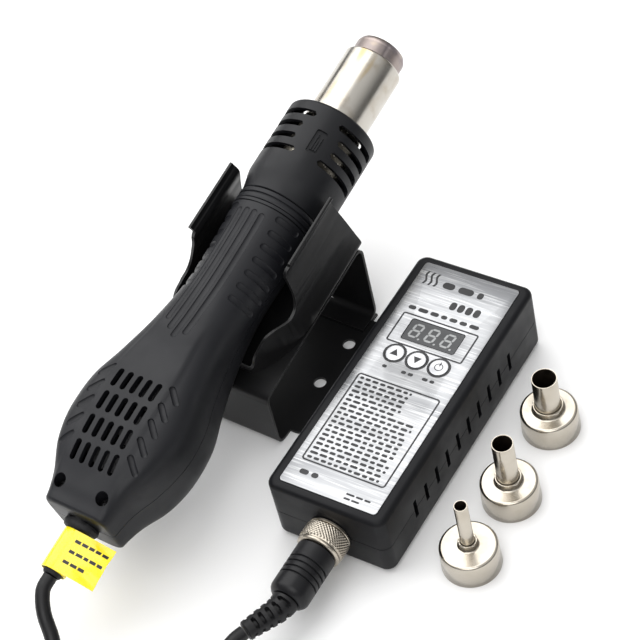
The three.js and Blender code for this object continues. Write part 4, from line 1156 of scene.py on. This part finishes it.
def add_guard():
    """The flared heat guard, with rows of curved vents on both sides of its spine."""
    wall, r = GUARD_WALL, GUARD_R
    profile = [(15.6, 1.9), (15.8, 1.7), (18.3, 1.7), (18.6, 2.0), (18.7, 3), (19, 4.5)]
    profile += [(19.6, 7.2), (20.2, 9.4), (r, 11.2)]
    profile += arc((r - 1.8, GUARD_END - 1.8), 1.8, 0, 90, 7)
    profile += [(TUBE_R + 1.2, GUARD_END), (TUBE_R + 1, GUARD_END - 0.2)]
    profile += [(TUBE_R + 1, GUARD_END - wall), (r - wall - 0.6, GUARD_END - wall)]
    profile += [(r - wall, GUARD_END - wall - 1), (r - wall, 13), (15.6, 5)]
    cutters = []
    for row in range(4):
        along = GUARD_SLOT_TOP - row * GUARD_SLOT_STEP
        near, far = radians(15 if row in (0, 3) else 24), radians(86)
        for start, end in ((near, far), (-far, -near)):
            cutters.append(arc_slot(along, GUARD_SLOT_W, GUARD_SPINE + start, GUARD_SPINE + end,
                                    16, 25))
    recess = prism_x(moved(rounded_rect(11.4, 5.0, 0.9, 4), 29, 0), r - 0.9, r + 3)
    cutters.append(turned_to(recess, GUARD_MARK))
    add_piece("vented_heat_guard", combined(turned(profile, 144), cutters), HANDLE, "handle",
              "guard_plastic", ["heater_guard"], crease=28)
    bars = [prism_x(moved(rounded_rect(length, 0.75, 0.3, 2), 29 + shift, side), r - 1.0, r - 0.2)
            for length, shift, side in ((8.4, 0, 0.95), (5.6, -1.3, -0.15), (7.4, -0.4, -1.2))]
    add_piece("guard_relief_bars", turned_to(together(bars), GUARD_MARK), HANDLE, "handle",
              "guard_plastic")


def add_heater():
    r, end = TUBE_R, TUBE_END
    tube = [(r - SHEET, 15.5), (18.2, 15.5), (18.2, 16.7), (r + 0.4, 16.7), (r, 17.1)]
    tube += [(r, GUARD_END - 2), (r, end - 1.3), *arc((r - 1.3, end - 1.3), 1.3, 10, 90, 6)]
    tube += [(SPIGOT_R + 0.5, end), (SPIGOT_R + 0.4, end - 0.1), (SPIGOT_R + 0.4, end - SHEET)]
    tube += [(r - SHEET - 0.5, end - SHEET), (r - SHEET, end - 1.4)]
    shape = turned(tube, 128)
    # Faces inside the guard take the painted shade material.
    for face in shape.faces:
        if face.calc_center_median().y < GUARD_END - 2:
            face.material_index = 1
    add_piece("rolled_heater_tube", shape, HANDLE, "handle", "heater_steel", ["heater_tube"],
              bore=INNER_TUBE_PAINTED_SHADE)

    def seamed(radius, along, angle):
        """A lapped seam along one side, and a slightly uneven rim."""
        seam = -0.22 * exp(-(((angle - 0.9) * 22) ** 2)) if radius > SPIGOT_R - 0.4 else 0
        rim = 0.12 * noise.noise(Vector((3 * cos(angle), 3 * sin(angle), along)))
        return seam - (abs(rim) if along > SPIGOT_END - 3 else 0)

    r, end = SPIGOT_R, SPIGOT_END
    spigot = [(r - SHEET, 18), (r, 18), (r, end - 3.4), (r - 0.12, end - 3.1), (r, end - 2.8)]
    spigot += [(r, end - 2.4), (r - 0.35, end - 1.6), (r - 0.8, end - 0.6), (r - 1.4, end - 0.25)]
    spigot += [(r - 2, end - 0.05), (r - 2.5, end - 0.5), (r - 2.6, end - 1.1)]
    spigot += [(r - 2.2, end - 1.3), (r - 1.6, end - 1), (r - 0.9, end - 1.3), (r - SHEET, end - 2.6)]
    add_piece("rolled_nozzle_spigot", turned(spigot, 128, ripple=seamed), HANDLE, "handle",
              "spigot_steel", ["nozzle_spigot"], crease=50)


def add_bush():
    """The bush's flat shoulder against the tail, and its taper down to the cable."""
    rows = [(-153.9, 5.9, 5.9), (-154.3, 7.8, 5.8), (-155.6, 8.1, 6.0), (-157.2, 7.3, 5.6),
            (-158.0, 5.4, 4.9), (-158.3, 4.7, 4.7), (-163, 4.5, 4.5), (-168, 4.3, 4.3)]
    for ring in range(3):
        s = -170.5 - ring * 2.4
        rows += [(s, 4.15, 4.15), (s - 0.2, 3.6, 3.6), (s - 0.9, 3.6, 3.6), (s - 1.1, 4.05, 4.05)]
    rows += [(-177.4, 3.9, 3.9), (BUSH_END, 3.5, 3.5)]
    rings = [[(wide * cos(a), along, high * sin(a))
              for a in (2 * pi * i / 48 for i in range(48))] for along, wide, high in rows]
    add_piece("stepped_cable_bush", loft(rings), HANDLE, "handle", "gland_rubber",
              ["cable_bush"])


def tag_wave(x, along):
    """Soft waves of the film, growing towards the flag's free edge."""
    free = smooth((x - 4) / 12)
    return free * (0.7 * sin(along * 0.30 + 1.0) + 0.25 * sin(along * 0.9 + x * 0.3))


def flag_point(reach, along, lift):
    """A point over the flag: `reach` out from the bush, `lift` above its middle."""
    height = TAG_WRAP_R - 0.3 + lift + 0.5 * sin(reach / TAG_REACH * 3)
    height += tag_wave(reach, along)
    cosine, sine = cos(TAG_DROOP), sin(TAG_DROOP)
    return (reach * cosine + height * sine, along, -reach * sine + height * cosine)


def tag_flag():
    """The doubled flag: one closed sheet with its free edges."""
    front = GRIP_END - 4.5
    reaches = [0.2 + (TAG_REACH - 0.2) * i / 28 for i in range(29)]
    rings = []
    for row in range(25):
        along = front - TAG_W * row / 24
        rings.append([flag_point(reach, along, 0.22) for reach in reaches]
                     + [flag_point(reach, along, -0.22) for reach in reversed(reaches)])
    return loft(rings)


def tag_print():
    """Plain dark bars laid on the flag in place of its words."""
    bars = []
    for row in range(3):
        along = GRIP_END - 8.5 - 4.6 * row
        reach, step = 2.6, 0
        while reach < TAG_REACH - (2.2 if row < 2 else 8):
            share = 0.5 + 0.5 * noise.noise(Vector((row * 2.9, step * 1.7, 8.1)))
            length = min(1.4 + 2.2 * share, TAG_REACH - 1.2 - reach)
            bars.append(loft([
                [flag_point(reach + length * part / 3, along + half, lift)
                 for half, lift in ((-0.65, 0.2), (-0.65, 0.28), (0.65, 0.28), (0.65, 0.2))]
                for part in range(4)
            ]))
            reach += length + 0.7
            step += 1
    return together(bars)


def add_tag():
    front = GRIP_END - 4.5
    r = TAG_WRAP_R
    wrap = turned([(r - 0.45, front - TAG_W), (r - 0.1, front - TAG_W), (r, front - TAG_W + 0.2),
                   (r, front - 0.2), (r - 0.1, front), (r - 0.45, front)], 64)
    shape = combined(tag_flag(), [wrap], "UNION")
    add_piece("folded_caution_flag", shape, HANDLE, "handle", "tag_film", ["caution_tag"])
    add_piece("caution_flag_print", tag_print(), HANDLE, "handle", "tag_film",
              material=PRINT_INK)


# ---- holder

def offset_line(line, thickness):
    """A closed outline: a centre line in a plane, given a thickness."""
    left, right = [], []
    for i, point in enumerate(line):
        way = (line[min(i + 1, len(line) - 1)] - line[max(i - 1, 0)]).normalized()
        out = Vector((-way.y, way.x)) * thickness / 2
        left.append(point + out)
        right.append(point - out)
    return [tuple(point) for point in left + right[::-1]]


def bent_line(corners, radius, steps=10):
    """A centre line through corners, each rounded to a radius."""
    line = [corners[0]]
    for before, corner, after in zip(corners, corners[1:], corners[2:]):
        inward, outward = (before - corner).normalized(), (after - corner).normalized()
        half = inward.angle(outward) / 2
        reach = radius / tan(half)
        start, end = corner + inward * reach, corner + outward * reach
        for step in range(steps + 1):
            t = step / steps
            line.append(start * (1 - t) ** 2 + corner * 2 * t * (1 - t) + end * t**2)
    line.append(corners[-1])
    return line


def plate_middle(y):
    below = CRADLE_FLOOR - CRADLE_T - GAP - STRIP_T / 2
    return AXIS_HEIGHT + y * tan(TILT) + below / cos(TILT)


def add_bracket():
    """One bent strip with a sloping top, on a wide foot plate."""
    half = STRIP_T / 2
    overlap = STRIP_T + GAP + half
    back, front = BACK_Y - half, FRONT_Y + half
    corners = [(BACK_Y - 11.7, overlap), (back, overlap), (back, plate_middle(back)),
               (front, plate_middle(front)), (front, half), (BACK_Y, half)]
    outline = offset_line(bent_line([Vector(corner) for corner in corners], BEND_R), STRIP_T)
    strip = prism_x(outline, -STRIP_HALF, STRIP_HALF)
    foot = prism(moved(rounded_rect(72, 66, 5), 0, 5), 0, STRIP_T)
    shape = combined(strip, [foot], "UNION")
    cutters = [block((-7.3, BACK_Y - 2, -1), (7.3, BACK_Y + 1, 4))]
    cutters += [rod(2.75, -1, 1.4, x, y) for x in (-26.5, 26.5) for y in (22.3, -1.1)]
    for along in CRADLE_SCREWS:
        hole = rod(1.8, -30, -18)
        bmesh.ops.rotate(hole, verts=hole.verts, cent=(0, 0, 0), matrix=Matrix.Rotation(TILT, 3, "X"))
        reach = along + RING_ALONG
        shifted(hole, 0, reach * cos(TILT), AXIS_HEIGHT + reach * sin(TILT))
        cutters.append(hole)
    shape = combined(shape, cutters)
    add_piece("bent_holder_bracket", softened(shape, 0.2), HOLDER, "station_base",
              "holder_paint", ["holder_bracket"], crease=40)


def cradle_section(half):
    """The trough's section, mirrored: half is its right side from the floor up."""
    outline = [tuple(point) for point in catmull([Vector(point) for point in half], 5)]
    return outline + [(-x, z) for x, z in reversed(outline)]


def cradle_plan(inset):
    wide, front = CRADLE_HALF - inset, CRADLE_FRONT + inset
    curve = []
    for step in range(17):
        t = step / 16
        x = wide * (1 - t) ** 2 + (26.2 - inset) * 2 * t * (1 - t) + 16 * t**2
        y = -26 * (1 - t) ** 2 - 54.5 * 2 * t * (1 - t) + front * t**2
        curve.append((x, y))
    back = CRADLE_BACK + (5 if inset else 0)
    outline = [(wide, back), *curve]
    outline += [(-x, y) for x, y in reversed(outline)]
    return prism(outline, -60, 40)


def add_cradle():
    """The trough: inward-leaning arms with rolled lips, and low cheeks round its front."""
    low, wide = CRADLE_FLOOR - CRADLE_T, CRADLE_HALF
    outer = prism_y(cradle_section([
        (wide - 7, low), (wide - 4.2, low + 0.25), (wide - 1.5, low + 1.7), (wide, low + 5),
        (wide - 1.2, low + 10), (26.6, -1), (24.0, 7.4), (24.2, 10.4), (25.9, LIP_HEIGHT - 0.5),
        (25.3, LIP_HEIGHT + 0.4),
    ]), CRADLE_FRONT - 1, CRADLE_BACK)
    inner = prism_y(cradle_section([
        (wide - 7.2, CRADLE_FLOOR), (wide - 5, CRADLE_FLOOR + 0.2),
        (wide - 2.6, CRADLE_FLOOR + 1.4), (wide - 1.3, low + 5), (wide - 2.4, low + 10),
        (25.4, -1), (22.75, 7.4), (22.95, 10.9), (24.5, LIP_HEIGHT + 0.3), (25, LIP_HEIGHT + 9),
    ]), CRADLE_FRONT - 3, CRADLE_BACK + 5)
    edge = catmull([Vector(point) for point in [
        (CRADLE_FRONT - 2, low + 1.2), (CRADLE_FRONT + 1.2, low + 3.4), (-57.2, -11.2), (-52, -4.8),
        (-47, -4), (-40, -6.2), (-34.5, -5.6), (-31, -2), (-29, 4), (-27.4, 9.4), (-24.6, 11),
    ]], 6)
    above = [*map(tuple, edge), (-24.6, 60), (CRADLE_FRONT - 2, 60)]
    outer = combined(outer, [cradle_plan(0)], "INTERSECT")
    inner = combined(inner, [cradle_plan(CRADLE_T)], "INTERSECT")
    cutters = [inner, prism_x(above, -60, 60)]
    cutters += [rod(1.8, low - 2, CRADLE_FLOOR + 2, 0, along) for along in CRADLE_SCREWS]
    add_piece("rolled_holder_cradle", softened(combined(outer, cutters), 0.2), HANDLE,
              "station_base", "holder_paint", ["holder_cradle"], crease=40)


def add_magnet_and_nuts():
    low = CRADLE_FLOOR + GAP
    disc = [(0, low), (4.7, low), (5, low + 0.3), (5, low + 1.0), (4.7, low + 1.3), (0, low + 1.3)]
    add_piece("disc_magnet", turned(disc, 64, upright=True), HANDLE @ at(0, -33, 0),
              "station_base", "magnet", ["holder_magnet"])
    top = CRADLE_FLOOR - CRADLE_T - STRIP_T - 2 * GAP
    for i, along in enumerate(CRADLE_SCREWS, 1):
        nut = turned([(2.1, top - 2.4), (2.9, top - 2.4), (3.3, top - 2.1), (3.3, top - 0.3),
                      (2.9, top), (2.1, top)], 6, upright=True)
        add_piece(f"hex_cradle_nut_{i}", nut, HANDLE @ at(0, along, 0),
                  "station_base", "screw_steel", [f"cradle_nut_{i}"], crease=20)


# ---- stage

# The world's strength near the horizon and overhead, and the heights between which it grows.
DIM, BRIGHT = 0.16, 0.85
DIM_UP_TO, BRIGHT_FROM = 0.1, 0.9


def add_floor():
    reach = 4
    corners = [(-reach, -reach, 0), (reach, -reach, 0), (reach, reach, 0), (-reach, reach, 0)]
    mesh = bpy.data.meshes.new("floor")
    mesh.from_pydata(corners, [], [(0, 1, 2, 3)])
    ground = bpy.data.objects.new("floor", mesh)
    bpy.context.collection.objects.link(ground)
    mesh.materials.append(Finish("floor", (0.93, 0.93, 0.93), 0.6).material)


def add_light(name, place, size, power):
    """A round soft box that looks at the object."""
    data = bpy.data.lights.new(name, "AREA")
    data.shape = "DISK"
    data.size = size
    data.energy = power
    light = bpy.data.objects.new(name, data)
    bpy.context.collection.objects.link(light)
    light.location = place
    light.rotation_euler = (-Vector(place)).to_track_quat("-Z", "Y").to_euler()


def add_world():
    """A pale studio: bright overhead, and dimmer towards the horizon."""
    world = bpy.data.worlds.new("studio")
    world.use_nodes = True
    maker = NodeMaker(world.node_tree)
    way = maker.node("TexCoord", {}).outputs["Generated"]
    height = maker.node("SeparateXYZ", {"Vector": way}).outputs["Z"]
    background = maker.nodes["Background"].inputs
    maker.feed(background["Color"], (1, 1, 1, 1))
    maker.feed(background["Strength"], maker.ranged(height, DIM, BRIGHT, DIM_UP_TO, BRIGHT_FROM))
    bpy.context.scene.world = world


add_camera()
dress_nodes()
add_cable([add_plug_body(), add_strain_relief(), add_coupling_nut()])
add_panel_socket()
add_mains_gland()
add_case()
add_label()
add_label_print()
add_display()
add_buttons()
add_screws()
add_nozzles()
add_grip()
add_neck_ring()
add_guard()
add_heater()
add_bush()
add_tag()
add_bracket()
add_cradle()
add_magnet_and_nuts()
add_floor()
add_world()
add_light("key", place=(-1.0, 0.25, 1.5), size=3.0, power=44)
add_light("fill", place=(0.5, -1.1, 1.3), size=1.4, power=10)
bpy.context.scene.view_settings.view_transform = "Standard"
